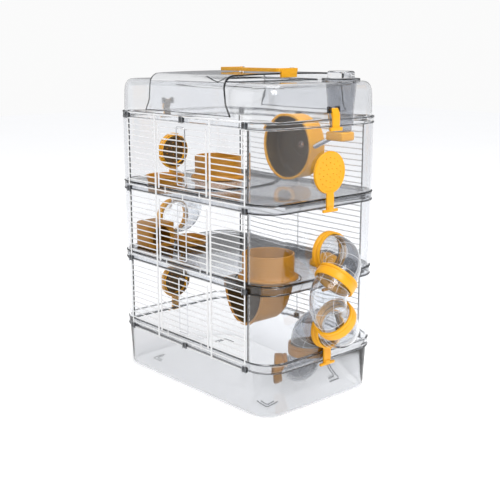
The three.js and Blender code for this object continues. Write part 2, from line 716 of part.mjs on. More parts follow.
const SPOUT = { drop: 25, length: 48, r: 4.4, bore: 3.4, ball: 2.9 };
const BASE = { r: 21.5, top: BOTTLE.zLow - GAP, high: 15 };
const SPOUT_WAY = [-Math.cos((SPOUT.drop * Math.PI) / 180), 0, -Math.sin((SPOUT.drop * Math.PI) / 180)];
const SPOUT_FROM = [BOTTLE.x - 13, BOTTLE.y, BASE.top - BASE.high + 6];

function sloped(profile, segments = 14) {
  const geometry = new THREE.LatheGeometry(profile.map(([r, h]) => new THREE.Vector2(r, h)), segments);
  const turn = new THREE.Quaternion().setFromUnitVectors(new THREE.Vector3(0, 1, 0), vec(SPOUT_WAY));
  geometry.applyQuaternion(turn);
  geometry.translate(...SPOUT_FROM);
  return solid(geometry);
}

function bottleBase() {
  const { r, top, high } = BASE;
  const cup = rod(r, top - high, top, [BOTTLE.x, BOTTLE.y, 0], 'z');
  return cut(cup, sloped([[0, 2], [SPOUT.r + GAP, 2], [SPOUT.r + GAP, 60], [0, 60]]));
}

function bottleSpout() {
  const { length, r, bore } = SPOUT;
  return sloped([
    [bore, 2 + GAP], [r, 2 + GAP], [r, length], [r - 1.6, length + 2.4], [2.3, length + 2.4],
    [2.3, length + 0.4], [bore, length - 1.2], [bore, 2 + GAP],
  ]);
}

function valveBall() {
  const ball = new THREE.SphereGeometry(SPOUT.ball, 10, 8);
  ball.translate(...along(SPOUT_FROM, SPOUT_WAY, SPOUT.length - 2.6));
  return solid(ball);
}

// ---- assembly -------------------------------------------------------------------------------------
const LEVEL_NAMES = ['lower', 'middle', 'upper'];
const SIDE_NAMES = new Map([[-1, 'left'], [1, 'right']]);

add('base_tray', baseTray(), clear());
for (const [side, sideName] of SIDE_NAMES) {
  LEVEL_NAMES.forEach((levelName, level) => {
    add(`end_wall_${sideName}_${levelName}`, endWall(side, level), clear());
  });
}
add('floor_middle', storeyFloor(1, [{ x: NEST.x, y: NEST.y, r: NEST.collarR - 1 + GAP }]), smoke());
add('floor_upper', storeyFloor(2, [
  { x: COLLAR.x, y: COLLAR.y, r: COLLAR.collarR - 1 + GAP },
  { x: BOWLS.upper.x, y: BOWLS.upper.y, r: BOWLS.upper.r + GAP },
]), smoke());
add('roof_hood', roofHood(), clear());
add('roof_lid', roofLid(), clear());
add('carry_handle', carryHandle(), amber());
for (const [side, sideName] of SIDE_NAMES) {
  add(`roof_strap_${sideName}`, roofStrap(side), amber());
  add(`front_grille_${sideName}`, frontGrilleSide(side), wireMaterial());
}
for (let level = 0; level <= 3; level += 1) {
  add(`front_grille_bridge_${level + 1}`, frontGrilleBridge(level), wireMaterial());
}
add('back_grille', backGrille(), wireMaterial());
LEVEL_NAMES.forEach((levelName, level) => {
  add(`door_${levelName}`, door(level), wireMaterial());
  add(`door_latch_${levelName}`, doorLatch(level), wireMaterial());
});
add('port_cap_right_upper', portCap(1, 2), amber());
add('port_cap_left_upper', portCap(-1, 2), amber());
add('port_cap_left_lower', portCap(-1, 0), amber());
add('port_ring_right_middle', portRing(1, 1), amber());
add('port_ring_right_lower', portRing(1, 0), amber());
add('port_ring_left_middle', portRing(-1, 1), amber());

const high = [JOIN_X, 0, portZ(1)];
const ringHigh = along(along(high, [1, 0, 0], RUN), DOWN_FRONT, RUN);
const ringLow = along(along(ringHigh, DOWN_FRONT, RUN), DOWN_BACK, RUN);
add('tube_elbow_outer_top', elbow(high, [1, 0, 0], DOWN_FRONT), smoke());
add('tube_ring_outer_top', tubeRing(ringHigh, DOWN_FRONT), amber());
add('tube_elbow_outer_middle', elbow(ringHigh, DOWN_FRONT, DOWN_BACK), clear());
add('tube_ring_outer_low', tubeRing(ringLow, DOWN_BACK), amber());
add('tube_elbow_outer_low', elbow(ringLow, DOWN_BACK, [-1, 0, 0]), clear());
add('tube_elbow_inner_high', elbow([JOIN_X - GAP, 0, portZ(0)], [-1, 0, 0], [0, 0, -1]), smoke());
add('tube_ring_inner', tubeRing(LOW_JOIN, [0, 0, 1]), amberInside());
add('tube_elbow_inner_low', elbow(LOW_JOIN, [0, 0, -1], MOUTH_WAY), smoke());
const mouth = along(along(LOW_JOIN, [0, 0, -1], RUN), MOUTH_WAY, RUN);
add('tube_mouth_ring', tubeRing(mouth, MOUTH_WAY, 9.5), amberInside());
add('tube_elbow_left', elbow([-JOIN_X, 0, portZ(1)], [1, 0, 0], [0, 0, 1]), clear());

add('nest', nest(), amberInside());
add('climbing_collar', flangedCollar(COLLAR, 2, FLOOR_PLATE + 4), amberInside());
add('corner_house', cornerHouse(), amberInside());
for (const [name, { x, y, z, r, high: tall }] of Object.entries(BOWLS)) {
  add(`food_bowl_${name}`, bowl([x, y, z], r, tall), amberInside());
}
add('dome_cover', domeCover(), amber());
add('exercise_wheel', wheelDrum(), amber());
add('wheel_axle', wheelAxle(), wireMaterial());
add('wheel_bracket', wheelBracket(), amber());
add('water_bottle', bottleBody(), smoke());
add('bottle_lid', bottleLid(), clear());
add('bottle_base', bottleBase(), amber());
add('bottle_spout', bottleSpout(), wireMaterial());
add('valve_ball', valveBall(), wireMaterial());

export default group;
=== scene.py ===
"""Looks of the three-storey hamster cage: clear and smoke styrene shells, plated wire
grilles, amber fittings, tubes, wheel and bottle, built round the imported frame.
Lengths in the tables below are millimetres in the frame's own axes."""
import math

import bmesh
import bpy
from mathutils import Matrix, Vector


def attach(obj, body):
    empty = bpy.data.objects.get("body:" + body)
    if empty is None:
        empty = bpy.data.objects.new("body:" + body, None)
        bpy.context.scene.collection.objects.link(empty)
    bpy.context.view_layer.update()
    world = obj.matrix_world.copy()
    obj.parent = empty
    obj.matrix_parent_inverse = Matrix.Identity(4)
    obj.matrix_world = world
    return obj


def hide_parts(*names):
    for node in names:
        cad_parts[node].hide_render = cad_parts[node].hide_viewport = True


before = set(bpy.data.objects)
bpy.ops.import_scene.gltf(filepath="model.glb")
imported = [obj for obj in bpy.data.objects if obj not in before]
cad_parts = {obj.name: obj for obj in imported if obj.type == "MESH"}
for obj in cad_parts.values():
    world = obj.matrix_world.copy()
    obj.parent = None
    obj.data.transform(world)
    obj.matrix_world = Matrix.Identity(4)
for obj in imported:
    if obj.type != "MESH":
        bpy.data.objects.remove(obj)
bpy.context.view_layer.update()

MM = 0.001
STOREY = 126.0
BAND_LOW = 76.0
BAND_HIGH = 16.0
PORT_RISE = 56.0                     # port centre above its band's lower edge
WIRE_LOW = 77.0
WIRE_PITCH = STOREY / 13
GRILLE_Y = 132.0
TUBE_R = 29.0
JOIN_X = 206.5
RUN = STOREY / (2 * math.sqrt(2))
TUBE_STRAIGHT = 9.0
WALL_X, WALL_Y, WALL_CORNER = 200.0, 129.5, 41.0    # clear walls, seen from above
RIM_X, RIM_CORNER = 203.0, 42.5                     # rim bands stand further out at the ends
CORNER_STEPS = 14
LID_LEFT, LID_RIGHT, LID_HEM = -87.0, 106.0, 471.0
LEVELS = ("lower", "middle", "upper")
ALONG_X, ALONG_Y = (1, 0, 0), (0, 1, 0)
BOTTLE_SPOT = (160.0, 68.0)


def placed(name, data):
    """a new object in the scene"""
    made = bpy.data.objects.new(name, data)
    bpy.context.scene.collection.objects.link(made)
    return made


# ---- camera -------------------------------------------------------------------------------
def place_camera():
    data = bpy.data.cameras.new("view")
    data.sensor_width = 36.0
    data.lens = 64.1
    data.clip_end = 50.0
    camera = placed("view", data)
    turn, rise, away = math.radians(48.54), math.radians(12.81), 1.5535
    aim = Vector((0.0169, 0.0, 0.2288))
    level = math.cos(rise)
    way = Vector((math.sin(turn) * level, -math.cos(turn) * level, math.sin(rise)))
    camera.location = aim + way * away
    camera.rotation_euler = (-way).to_track_quat("-Z", "Y").to_euler()
    bpy.context.scene.camera = camera


place_camera()


# ---- node helpers -------------------------------------------------------------------------
def linear(code, alpha=1.0):
    """an sRGB hex colour as a linear RGBA value"""
    parts = [int(code[k:k + 2], 16) / 255 for k in (1, 3, 5)]
    lin = [c / 12.92 if c <= 0.04045 else ((c + 0.055) / 1.055) ** 2.4 for c in parts]
    return (*lin, alpha)


def add_node(tree, kind, inputs=None, **settings):
    made = tree.nodes.new(kind)
    for key, value in settings.items():
        setattr(made, key, value)
    for key, value in (inputs or {}).items():
        socket = made.inputs[key]
        if isinstance(value, bpy.types.NodeSocket):
            tree.links.new(value, socket)
        else:
            socket.default_value = value
    return made


def shader(name):
    made = bpy.data.materials.new(name)
    made.use_nodes = True
    made.node_tree.nodes.clear()
    place = add_node(made.node_tree, "ShaderNodeTexCoord").outputs["Object"]
    return made, made.node_tree, place


def finish_shader(tree, surface):
    add_node(tree, "ShaderNodeOutputMaterial", {"Surface": surface.outputs[0]})


def per_mm(size):
    """the Scale that makes a texture repeat about every size millimetres"""
    return 1.0 / (size * MM)


# ---- materials ----------------------------------------------------------------------------
def clear_shell(name, tint, ripple_mm, rough, shade, rim):
    """Injection-moulded clear polystyrene: glassy, with slow flow ripples that bend
    reflections, and faint handling haze that varies the gloss. Lamps shine through it with
    a loss set by shade, as they do through a thin wall, and the wall darkens towards rim
    where it is seen edge-on, because the light then crosses far more plastic."""
    made, tree, place = shader(name)
    flow = add_node(tree, "ShaderNodeTexNoise", {
        "Vector": place, "Scale": per_mm(ripple_mm), "Detail": 2.0, "Roughness": 0.4})
    haze = add_node(tree, "ShaderNodeTexNoise", {
        "Vector": place, "Scale": per_mm(18), "Detail": 4.0, "Roughness": 0.6})
    gloss = add_node(tree, "ShaderNodeMapRange", {
        "Value": haze.outputs["Fac"], "From Min": 0.35, "From Max": 0.75,
        "To Min": rough, "To Max": rough + 0.05})
    bump = add_node(tree, "ShaderNodeBump", {
        "Height": flow.outputs["Fac"], "Strength": 0.06, "Distance": 0.4 * MM})
    slant = add_node(tree, "ShaderNodeLayerWeight", {"Blend": 0.5})
    depth = add_node(tree, "ShaderNodeMapRange", {
        "Value": slant.outputs["Facing"], "From Min": 0.81, "From Max": 1.0,
        "To Min": 0.0, "To Max": 0.95})
    body = add_node(tree, "ShaderNodeMix", {
        "Factor": depth.outputs["Result"], 6: linear(tint), 7: linear(rim)}, data_type="RGBA")
    surface = add_node(tree, "ShaderNodeBsdfPrincipled", {
        "Base Color": body.outputs[2], "Roughness": gloss.outputs["Result"], "IOR": 1.49,
        "Transmission Weight": 1.0, "Normal": bump.outputs["Normal"]})
    lamp_ray = add_node(tree, "ShaderNodeLightPath").outputs["Is Shadow Ray"]
    passed = add_node(tree, "ShaderNodeBsdfTransparent", {"Color": linear(shade)})
    finish_shader(tree, add_node(tree, "ShaderNodeMixShader", {
        0: lamp_ray, 1: surface.outputs[0], 2: passed.outputs[0]}))
    return made


def moulded_amber(name, low, high, rough):
    """Polypropylene moulded in a spark-eroded tool: even satin, soft broad highlights,
    a light see-through depth, and slight clouding of the dye."""
    made, tree, place = shader(name)
    cloud = add_node(tree, "ShaderNodeTexNoise", {
        "Vector": place, "Scale": per_mm(34), "Detail": 3.0, "Roughness": 0.5})
    colour = add_node(tree, "ShaderNodeMix", {
        "Factor": cloud.outputs["Fac"], 6: linear(low), 7: linear(high)}, data_type="RGBA")
    # the erosion grain is about 0.1 mm; it is drawn at 0.9 mm so that it shows
    grain = add_node(tree, "ShaderNodeTexNoise", {
        "Vector": place, "Scale": per_mm(0.9), "Detail": 2.0, "Roughness": 0.5})
    gloss = add_node(tree, "ShaderNodeMapRange", {
        "Value": grain.outputs["Fac"], "From Min": 0.3, "From Max": 0.7,
        "To Min": rough - 0.05, "To Max": rough + 0.07})
    bump = add_node(tree, "ShaderNodeBump", {
        "Height": grain.outputs["Fac"], "Strength": 0.12, "Distance": 0.1 * MM})
    surface = add_node(tree, "ShaderNodeBsdfPrincipled", {
        "Base Color": colour.outputs[2], "Roughness": gloss.outputs["Result"], "IOR": 1.49,
        "Subsurface Weight": 0.02, "Subsurface Scale": 0.001, "Normal": bump.outputs["Normal"]})
    surface.inputs["Subsurface Radius"].default_value = (1.0, 0.55, 0.15)
    finish_shader(tree, surface)
    return made


def plated_metal(name, colour, rough, streak_mm):
    """Bright plated or drawn steel: fine drawing lines stretch the highlights, and the
    plating clouds slightly."""
    made, tree, place = shader(name)
    along = add_node(tree, "ShaderNodeMapping", {"Vector": place, "Scale": (0.12, 1.0, 1.0)})
    lines = add_node(tree, "ShaderNodeTexNoise", {
        "Vector": along.outputs["Vector"], "Scale": per_mm(streak_mm), "Detail": 3.0})
    cloud = add_node(tree, "ShaderNodeTexNoise", {
        "Vector": place, "Scale": per_mm(9), "Detail": 2.0})
    gloss = add_node(tree, "ShaderNodeMapRange", {
        "Value": cloud.outputs["Fac"], "From Min": 0.3, "From Max": 0.7,
        "To Min": rough - 0.06, "To Max": rough + 0.08})
    bump = add_node(tree, "ShaderNodeBump", {
        "Height": lines.outputs["Fac"], "Strength": 0.15, "Distance": 0.05 * MM})
    surface = add_node(tree, "ShaderNodeBsdfPrincipled", {
        "Base Color": linear(colour), "Metallic": 1.0, "Roughness": gloss.outputs["Result"],
        "Normal": bump.outputs["Normal"]})
    finish_shader(tree, surface)
    return made


# crystal styrene, almost colourless face-on; the deep tray is a touch greyer
CLEAR = clear_shell("clear_polystyrene_moulded", "#F0F1F3", 60, 0.02, "#F7F7F7", "#AEB1B6")
TRAY = clear_shell("clear_polystyrene_deep_tray", "#E4E5E7", 60, 0.03, "#E8E8E8", "#8E9196")
# a thin tube wall looks black where it turns away
TUBE = clear_shell("clear_polystyrene_blown_tube", "#ECEEF1", 40, 0.02, "#F4F4F4", "#2A2C30")
# beads and cut edges carry light away, so they draw a dark line
CLEAR_EDGE = clear_shell("clear_polystyrene_thick_edge", "#6E7278", 20, 0.06, "#D8D8D8", "#2E3034")
# floors and bottle: the same plastic with a little grey dye
SMOKE = clear_shell("smoke_polystyrene_moulded", "#CDCFD3", 45, 0.04, "#E4E4E4", "#3A3C40")
SMOKE_EDGE = clear_shell("smoke_polystyrene_thick_edge", "#3A3C40", 20, 0.08, "#C0C0C0", "#1C1D20")
# warm see-through yellow with a soft satin sheen
AMBER = moulded_amber("amber_polypropylene_satin", "#EAA008", "#F4B212", 0.36)
# painted shade: a copy of the amber fittings, browner and duller, standing for how they look in shade
SHADED_AMBER = moulded_amber("ochre_polypropylene_satin", "#A87014", "#B67E1E", 0.42)
# painted shade: the inner faces of drums, caps and chambers are coloured dark and matt to stand for the
# shade that falls inside them
SHADE_UMBER = moulded_amber("umber_polypropylene_worn_matt", "#3E2C10", "#5C461E", 0.6)
# pale grey grille wire with a broken, slightly clouded shine
WIRE = plated_metal("zinc_plated_wire_drawn", "#96989C", 0.34, 0.6)
# brighter and smoother than the grille wire
STEEL = plated_metal("stainless_steel_rolled", "#D2D3D6", 0.2, 0.8)


# ---- mesh helpers -------------------------------------------------------------------------
def skin(loops, closed=False):
    """verts and faces through equal loops; ends are capped unless the last meets the first"""
    count = len(loops[0])
    verts = [point for loop in loops for point in loop]
    faces = []
    spans = len(loops) if closed else len(loops) - 1
    for a in range(spans):
        b = (a + 1) % len(loops)
        for k in range(count):
            m = (k + 1) % count
            faces.append((a * count + k, a * count + m, b * count + m, b * count + k))
    if not closed:
        last = (len(loops) - 1) * count
        faces.append(tuple(reversed(range(count))))
        faces.append(tuple(range(last, last + count)))
    return verts, faces


def walled(loops, split):
    """a closed run of loops, with the gap after one loop covered flat on both sides"""
    verts, faces = skin(loops, closed=True)
    count = len(loops[0])
    faces = [f for f in faces if not (f[0] // count == split and f[2] // count == split + 1)]
    faces += [tuple(range(row * count, (row + 1) * count)) for row in (split, split + 1)]
    return verts, faces


def merged(*parts):
    verts, faces = [], []
    for part_verts, part_faces in parts:
        base = len(verts)
        verts.extend(part_verts)
        faces.extend(tuple(k + base for k in face) for face in part_faces)
    return verts, faces


def rounded(points, radius, steps=3, closed=True):
    """a polyline with its corners rounded; radius is one number or one for each point"""
    count = len(points)
    made = []
    for k, point in enumerate(points):
        size = radius[k] if isinstance(radius, (list, tuple)) else radius
        here = Vector(point)
        if size <= 0 or (not closed and k in (0, count - 1)):
            made.append(tuple(here))
            continue
        before, after = Vector(points[k - 1]), Vector(points[(k + 1) % count])
        into, out = (before - here), (after - here)
        reach = min(size, into.length * 0.49, out.length * 0.49)
        start, end = here + into.normalized() * reach, here + out.normalized() * reach
        for s in range(steps + 1):
            t = s / steps
            made.append(tuple(start * (1 - t) ** 2 + here * 2 * t * (1 - t) + end * t * t))
    return made


def turned(profile, centre, way=(0, 0, 1), segments=72):
    """a closed turned shape from (radius, height) points; points on the axis make poles"""
    turn = Vector((0, 0, 1)).rotation_difference(Vector(way))
    on_axis = abs(profile[0][0]) < 1e-6 and abs(profile[-1][0]) < 1e-6
    verts, faces, rows = [], [], []
    for radius, height in profile:
        if abs(radius) < 1e-6:
            rows.append([len(verts)])
            verts.append(tuple(turn @ Vector((0, 0, height)) + Vector(centre)))
            continue
        rows.append(list(range(len(verts), len(verts) + segments)))
        for k in range(segments):
            angle = 2 * math.pi * k / segments
            spot = Vector((radius * math.cos(angle), radius * math.sin(angle), height))
            verts.append(tuple(turn @ spot + Vector(centre)))
    pairs = list(zip(rows, rows[1:])) + ([] if on_axis else [(rows[-1], rows[0])])
    for low, high in pairs:
        for k in range(segments):
            m = (k + 1) % segments
            if len(low) == 1:
                faces.append((low[0], high[m], high[k]))
            elif len(high) == 1:
                faces.append((low[k], low[m], high[0]))
            else:
                faces.append((low[k], low[m], high[m], high[k]))
    return verts, faces


def block(low, high, radius=0.8, steps=2):
    """a rounded-edge block between two corners"""
    (x0, y0, z0), (x1, y1, z1) = low, high
    radius = min(radius, (x1 - x0) * 0.45, (y1 - y0) * 0.45, (z1 - z0) * 0.45)
    cx, cy = (x0 + x1) / 2, (y0 + y1) / 2
    loops = []
    for k in range(steps + 1):
        turn = math.pi / 2 * k / steps
        pull, lift = radius * (1 - math.sin(turn)), radius * (1 - math.cos(turn))
        loops.append((z0 + lift, pull))
    loops += [(z1 - (z - z0), pull) for z, pull in reversed(loops)]
    return skin([
        [(x + cx, y + cy, z) for x, y, _ in
         plan_loop((x1 - x0) / 2 - pull, (y1 - y0) / 2 - pull, max(radius - pull, 0.05), 0, steps)]
        for z, pull in loops])


def plan_loop(half_x, half_y, radius, z, steps=10):
    """one rounded-rectangle loop seen from above"""
    made = []
    for quarter, (sx, sy) in enumerate(((1, 1), (-1, 1), (-1, -1), (1, -1))):
        for k in range(steps + 1):
            turn = math.pi / 2 * (quarter + k / steps)
            made.append((sx * (half_x - radius) + radius * math.cos(turn),
                         sy * (half_y - radius) + radius * math.sin(turn), z))
    return made


def wall_loop(inset, z):
    return plan_loop(WALL_X - inset, WALL_Y - inset, WALL_CORNER - inset, z, CORNER_STEPS)


def rim_loop(inset, z, half_y=WALL_Y):
    return plan_loop(RIM_X - inset, half_y - inset, RIM_CORNER - inset, z, CORNER_STEPS)


def round_hole(x, y, z0, z1, radius, segments=72):
    """a plain upright plug to cut a hole with"""
    return turned([(0, z0), (radius, z0), (radius, z1), (0, z1)], (x, y, 0), segments=segments)


def turned_about_z(shape, degrees):
    spin = Matrix.Rotation(math.radians(degrees), 3, "Z")
    return [tuple(spin @ Vector(v)) for v in shape[0]], shape[1]


def build(name, shape, material):
    """an object from millimetre verts and faces, closed, facing out and smooth"""
    verts, faces = shape
    mesh = bpy.data.meshes.new(name)
    mesh.from_pydata([(x * MM, y * MM, z * MM) for x, y, z in verts], [], faces)
    work = bmesh.new()
    work.from_mesh(mesh)
    bmesh.ops.remove_doubles(work, verts=work.verts, dist=1e-6)
    bmesh.ops.dissolve_degenerate(work, edges=work.edges, dist=1e-7)
    bmesh.ops.recalc_face_normals(work, faces=work.faces)
    work.to_mesh(mesh)
    work.free()
    mesh.materials.append(material)
    soften(mesh)
    return placed(name, mesh)


def paint_shade_on(made, inside):
    """paints the faces that pass the test (centre in mm, normal) with the dark matt painted shade"""
    made.data.materials.append(SHADE_UMBER)
    for face in made.data.polygons:
        if inside(face.center / MM, face.normal):
            face.material_index = len(made.data.materials) - 1


def soften(mesh, degrees=38):
    mesh.shade_smooth()
    mesh.set_sharp_from_angle(angle=math.radians(degrees))


def settle(made):
    """freeze what the modifiers make into a plain mesh"""
    depsgraph = bpy.context.evaluated_depsgraph_get()
    mesh = bpy.data.meshes.new_from_object(made.evaluated_get(depsgraph), depsgraph=depsgraph)
    made.modifiers.clear()
    made.data = mesh
    soften(mesh)
    return made


def carve(made, *shapes):
    """cut closed shapes out of a piece"""
    for k, shape in enumerate(shapes):
        tool = build(f"{made.name}_tool_{k}", shape, made.data.materials[0])
        cut = made.modifiers.new("cut", "BOOLEAN")
        cut.operation = "DIFFERENCE"
        cut.solver = "EXACT"
        cut.object = tool
        settle(made)
        bpy.data.objects.remove(tool)
    return made


def refined(name, node, material, edge=0.8, steps=3):
    """a copy of a plain frame node with its faces merged and its edges rounded"""
    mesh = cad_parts[node].data.copy()
    work = bmesh.new()
    work.from_mesh(mesh)
    bmesh.ops.remove_doubles(work, verts=work.verts, dist=2e-6)
    bmesh.ops.dissolve_limit(work, angle_limit=math.radians(1.5), verts=work.verts,
                             edges=work.edges)
    work.to_mesh(mesh)
    work.free()
    made = placed(name, mesh)
    mesh.materials.clear()
    mesh.materials.append(material)
    bevel = made.modifiers.new("edge", "BEVEL")
    bevel.width = edge * MM
    bevel.segments = steps
    bevel.limit_method = "ANGLE"
    bevel.angle_limit = math.radians(35)
    bevel.use_clamp_overlap = True
    return settle(made)


def ride(made, body, slot, *nodes):
    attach(made, body)
    if nodes:
        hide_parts(*nodes)
    return made


# ---- geometry-node makers -----------------------------------------------------------------
def new_tree(name, **inputs):
    tree = bpy.data.node_groups.new(name, "GeometryNodeTree")
    tree.interface.new_socket("Geometry", in_out="OUTPUT", socket_type="NodeSocketGeometry")
    tree.interface.new_socket("Geometry", in_out="INPUT", socket_type="NodeSocketGeometry")
    for label, kind in inputs.items():
        tree.interface.new_socket(label.replace("_", " "), in_out="INPUT", socket_type=kind)
    return tree, add_node(tree, "NodeGroupInput").outputs


def end_tree(tree, geometry, finish):
    real = add_node(tree, "GeometryNodeRealizeInstances", {"Geometry": geometry})
    coloured = add_node(tree, "GeometryNodeSetMaterial", {
        "Geometry": real.outputs["Geometry"], "Material": finish})
    add_node(tree, "NodeGroupOutput", {"Geometry": coloured.outputs["Geometry"]})
    return tree


def bent_wire_tree():
    """round wire along every chain of edges"""
    tree, given = new_tree("bent_wire", Wire_radius="NodeSocketFloat", Sides="NodeSocketInt",
                           Finish="NodeSocketMaterial")
    line = add_node(tree, "GeometryNodeMeshToCurve", {"Mesh": given["Geometry"]})
    section = add_node(tree, "GeometryNodeCurvePrimitiveCircle", {
        "Resolution": given["Sides"], "Radius": given["Wire radius"]})
    tube = add_node(tree, "GeometryNodeCurveToMesh", {
        "Curve": line.outputs["Curve"], "Profile Curve": section.outputs["Curve"],
        "Fill Caps": True})
    return end_tree(tree, tube.outputs["Mesh"], given["Finish"])


def wire_bank_tree():
    """a bank of equal straight wires along X, one for each row of the pitch"""
    tree, given = new_tree("wire_bank", Length="NodeSocketFloat", Pitch="NodeSocketFloat",
                           Count="NodeSocketInt", Start="NodeSocketVector",
                           Wire_radius="NodeSocketFloat", Sides="NodeSocketInt",
                           Finish="NodeSocketMaterial")
    reach = add_node(tree, "ShaderNodeCombineXYZ", {"X": given["Length"]})
    step = add_node(tree, "ShaderNodeCombineXYZ", {"Z": given["Pitch"]})
    line = add_node(tree, "GeometryNodeCurvePrimitiveLine", {"End": reach.outputs["Vector"]})
    rows = add_node(tree, "GeometryNodeMeshLine", {
        "Count": given["Count"], "Start Location": given["Start"],
        "Offset": step.outputs["Vector"]}, mode="OFFSET")
    section = add_node(tree, "GeometryNodeCurvePrimitiveCircle", {
        "Resolution": given["Sides"], "Radius": given["Wire radius"]})
    wire = add_node(tree, "GeometryNodeCurveToMesh", {
        "Curve": line.outputs["Curve"], "Profile Curve": section.outputs["Curve"],
        "Fill Caps": True})
    bank = add_node(tree, "GeometryNodeInstanceOnPoints", {
        "Points": rows.outputs["Mesh"], "Instance": wire.outputs["Mesh"]})
    both = add_node(tree, "GeometryNodeJoinGeometry")
    tree.links.new(given["Geometry"], both.inputs[0])
    tree.links.new(bank.outputs["Instances"], both.inputs[0])
    return end_tree(tree, both.outputs["Geometry"], given["Finish"])


def perforation_tree():
    """round holes in three rings, cut through a disc that faces along X"""
    tree, given = new_tree("perforation", Centre="NodeSocketVector", Ring_step="NodeSocketFloat",
                           Hole_radius="NodeSocketFloat", Depth="NodeSocketFloat",
                           Finish="NodeSocketMaterial")
    rings = add_node(tree, "GeometryNodeJoinGeometry")
    for k, holes in enumerate((5, 10, 16)):
        size = add_node(tree, "ShaderNodeMath", {
            0: given["Ring step"], 1: float(k + 0.85)}, operation="MULTIPLY")
        ring = add_node(tree, "GeometryNodeMeshCircle", {
            "Vertices": holes, "Radius": size.outputs[0]})
        tree.links.new(ring.outputs["Mesh"], rings.inputs[0])
    drill = add_node(tree, "GeometryNodeMeshCylinder", {
        "Vertices": 12, "Radius": given["Hole radius"], "Depth": given["Depth"]})
    drills = add_node(tree, "GeometryNodeInstanceOnPoints", {
        "Points": rings.outputs["Geometry"], "Instance": drill.outputs["Mesh"]})
    loose = add_node(tree, "GeometryNodeRealizeInstances", {
        "Geometry": drills.outputs["Instances"]})
    aimed = add_node(tree, "GeometryNodeTransform", {
        "Geometry": loose.outputs["Geometry"], "Translation": given["Centre"],
        "Rotation": (0.0, math.pi / 2, 0.0)})
    cut = add_node(tree, "GeometryNodeMeshBoolean", {
        "Mesh 1": given["Geometry"], "Mesh 2": aimed.outputs["Geometry"]},
        operation="DIFFERENCE", solver="EXACT")
    return end_tree(tree, cut.outputs["Mesh"], given["Finish"])


def hoop_tree():
    """raised hoops across a path, spaced evenly along it"""
    tree, given = new_tree("hoops_on_path", Hoop_radius="NodeSocketFloat", Count="NodeSocketInt",
                           Rib_radius="NodeSocketFloat", Finish="NodeSocketMaterial")
    line = add_node(tree, "GeometryNodeMeshToCurve", {"Mesh": given["Geometry"]})
    spots = add_node(tree, "GeometryNodeCurveToPoints", {
        "Curve": line.outputs["Curve"], "Count": given["Count"]}, mode="COUNT")
    hoop = add_node(tree, "GeometryNodeCurvePrimitiveCircle", {
        "Resolution": 40, "Radius": given["Hoop radius"]})
    section = add_node(tree, "GeometryNodeCurvePrimitiveCircle", {
        "Resolution": 5, "Radius": given["Rib radius"]})
    rib = add_node(tree, "GeometryNodeCurveToMesh", {
        "Curve": hoop.outputs["Curve"], "Profile Curve": section.outputs["Curve"]})
    ribs = add_node(tree, "GeometryNodeInstanceOnPoints", {
        "Points": spots.outputs["Points"], "Instance": rib.outputs["Mesh"],
        "Rotation": spots.outputs["Rotation"]})
    return end_tree(tree, ribs.outputs["Instances"], given["Finish"])


BENT_WIRE = bent_wire_tree()
WIRE_BANK = wire_bank_tree()
PERFORATION = perforation_tree()
HOOPS = hoop_tree()


def run_tree(made, tree, **values):
    """run a maker on a piece once and keep the plain mesh"""
    lever = made.modifiers.new(tree.name, "NODES")
    lever.node_group = tree
    for item in tree.interface.items_tree:
        label = item.name.replace(" ", "_")
        if item.in_out == "INPUT" and label in values:
            lever[item.identifier] = values[label]
    return settle(made)


def chains(name, lines, material):
    """an object that holds only polylines, each line closed if its ends meet"""
    verts, edges = [], []
    for line in lines:
        base = len(verts)
        loop = (Vector(line[0]) - Vector(line[-1])).length < 1e-6
        points = line[:-1] if loop else line
        verts.extend((x * MM, y * MM, z * MM) for x, y, z in points)
        edges.extend((base + k, base + k + 1) for k in range(len(points) - 1))
        if loop:
            edges.append((base + len(points) - 1, base))
    mesh = bpy.data.meshes.new(name)
    mesh.from_pydata(verts, edges, [])
    mesh.materials.append(material)
    return placed(name, mesh)


def wires(name, lines, radius, material, sides=8):
    return run_tree(chains(name, lines, material), BENT_WIRE,
                    Wire_radius=radius * MM, Sides=sides, Finish=material)


def bank(name, x0, x1, y, first, count, radius, material, pitch=WIRE_PITCH):
    empty = chains(name, [[(x0, y, -1), (x0, y, -1.5)]], material)
    empty.data.clear_geometry()
    return run_tree(empty, WIRE_BANK, Length=(x1 - x0) * MM, Pitch=pitch * MM, Count=count,
                    Start=(x0 * MM, y * MM, (WIRE_LOW + WIRE_PITCH * first) * MM),
                    Wire_radius=radius * MM, Sides=8, Finish=material)


def united(name, *pieces):
    """several settled objects made one"""
    work = bmesh.new()
    for made in pieces:
        work.from_mesh(made.data)
    mesh = bpy.data.meshes.new(name)
    work.to_mesh(mesh)
    work.free()
    mesh.materials.append(pieces[0].data.materials[0])
    for made in pieces:
        bpy.data.objects.remove(made)
    soften(mesh)
    return placed(name, mesh)


# ---- clear shells -------------------------------------------------------------------------
def band_loops(z, high):
    """outer face of a rim band: a bead at each edge and a shallow waist between them"""
    bead = [(0.9, 0.0), (0.2, 0.35), (0.0, 1.1), (0.0, 2.6), (0.7, 3.4)]
    steps = bead + [(inset, high - h) for inset, h in reversed(bead)]
    return [rim_loop(inset, z + h) for inset, h in steps]


def rim_beads(name, z, high, radius, material, slot):
    """the thick lines that run round a band near its lower and upper edges"""
    lines = []
    for h in (1.3, high - 1.3):
        loop = rim_loop(0.5, z + h)
        lines.append(loop + loop[:1])
    ride(wires(name, lines, radius, material, 6), "cage", slot)


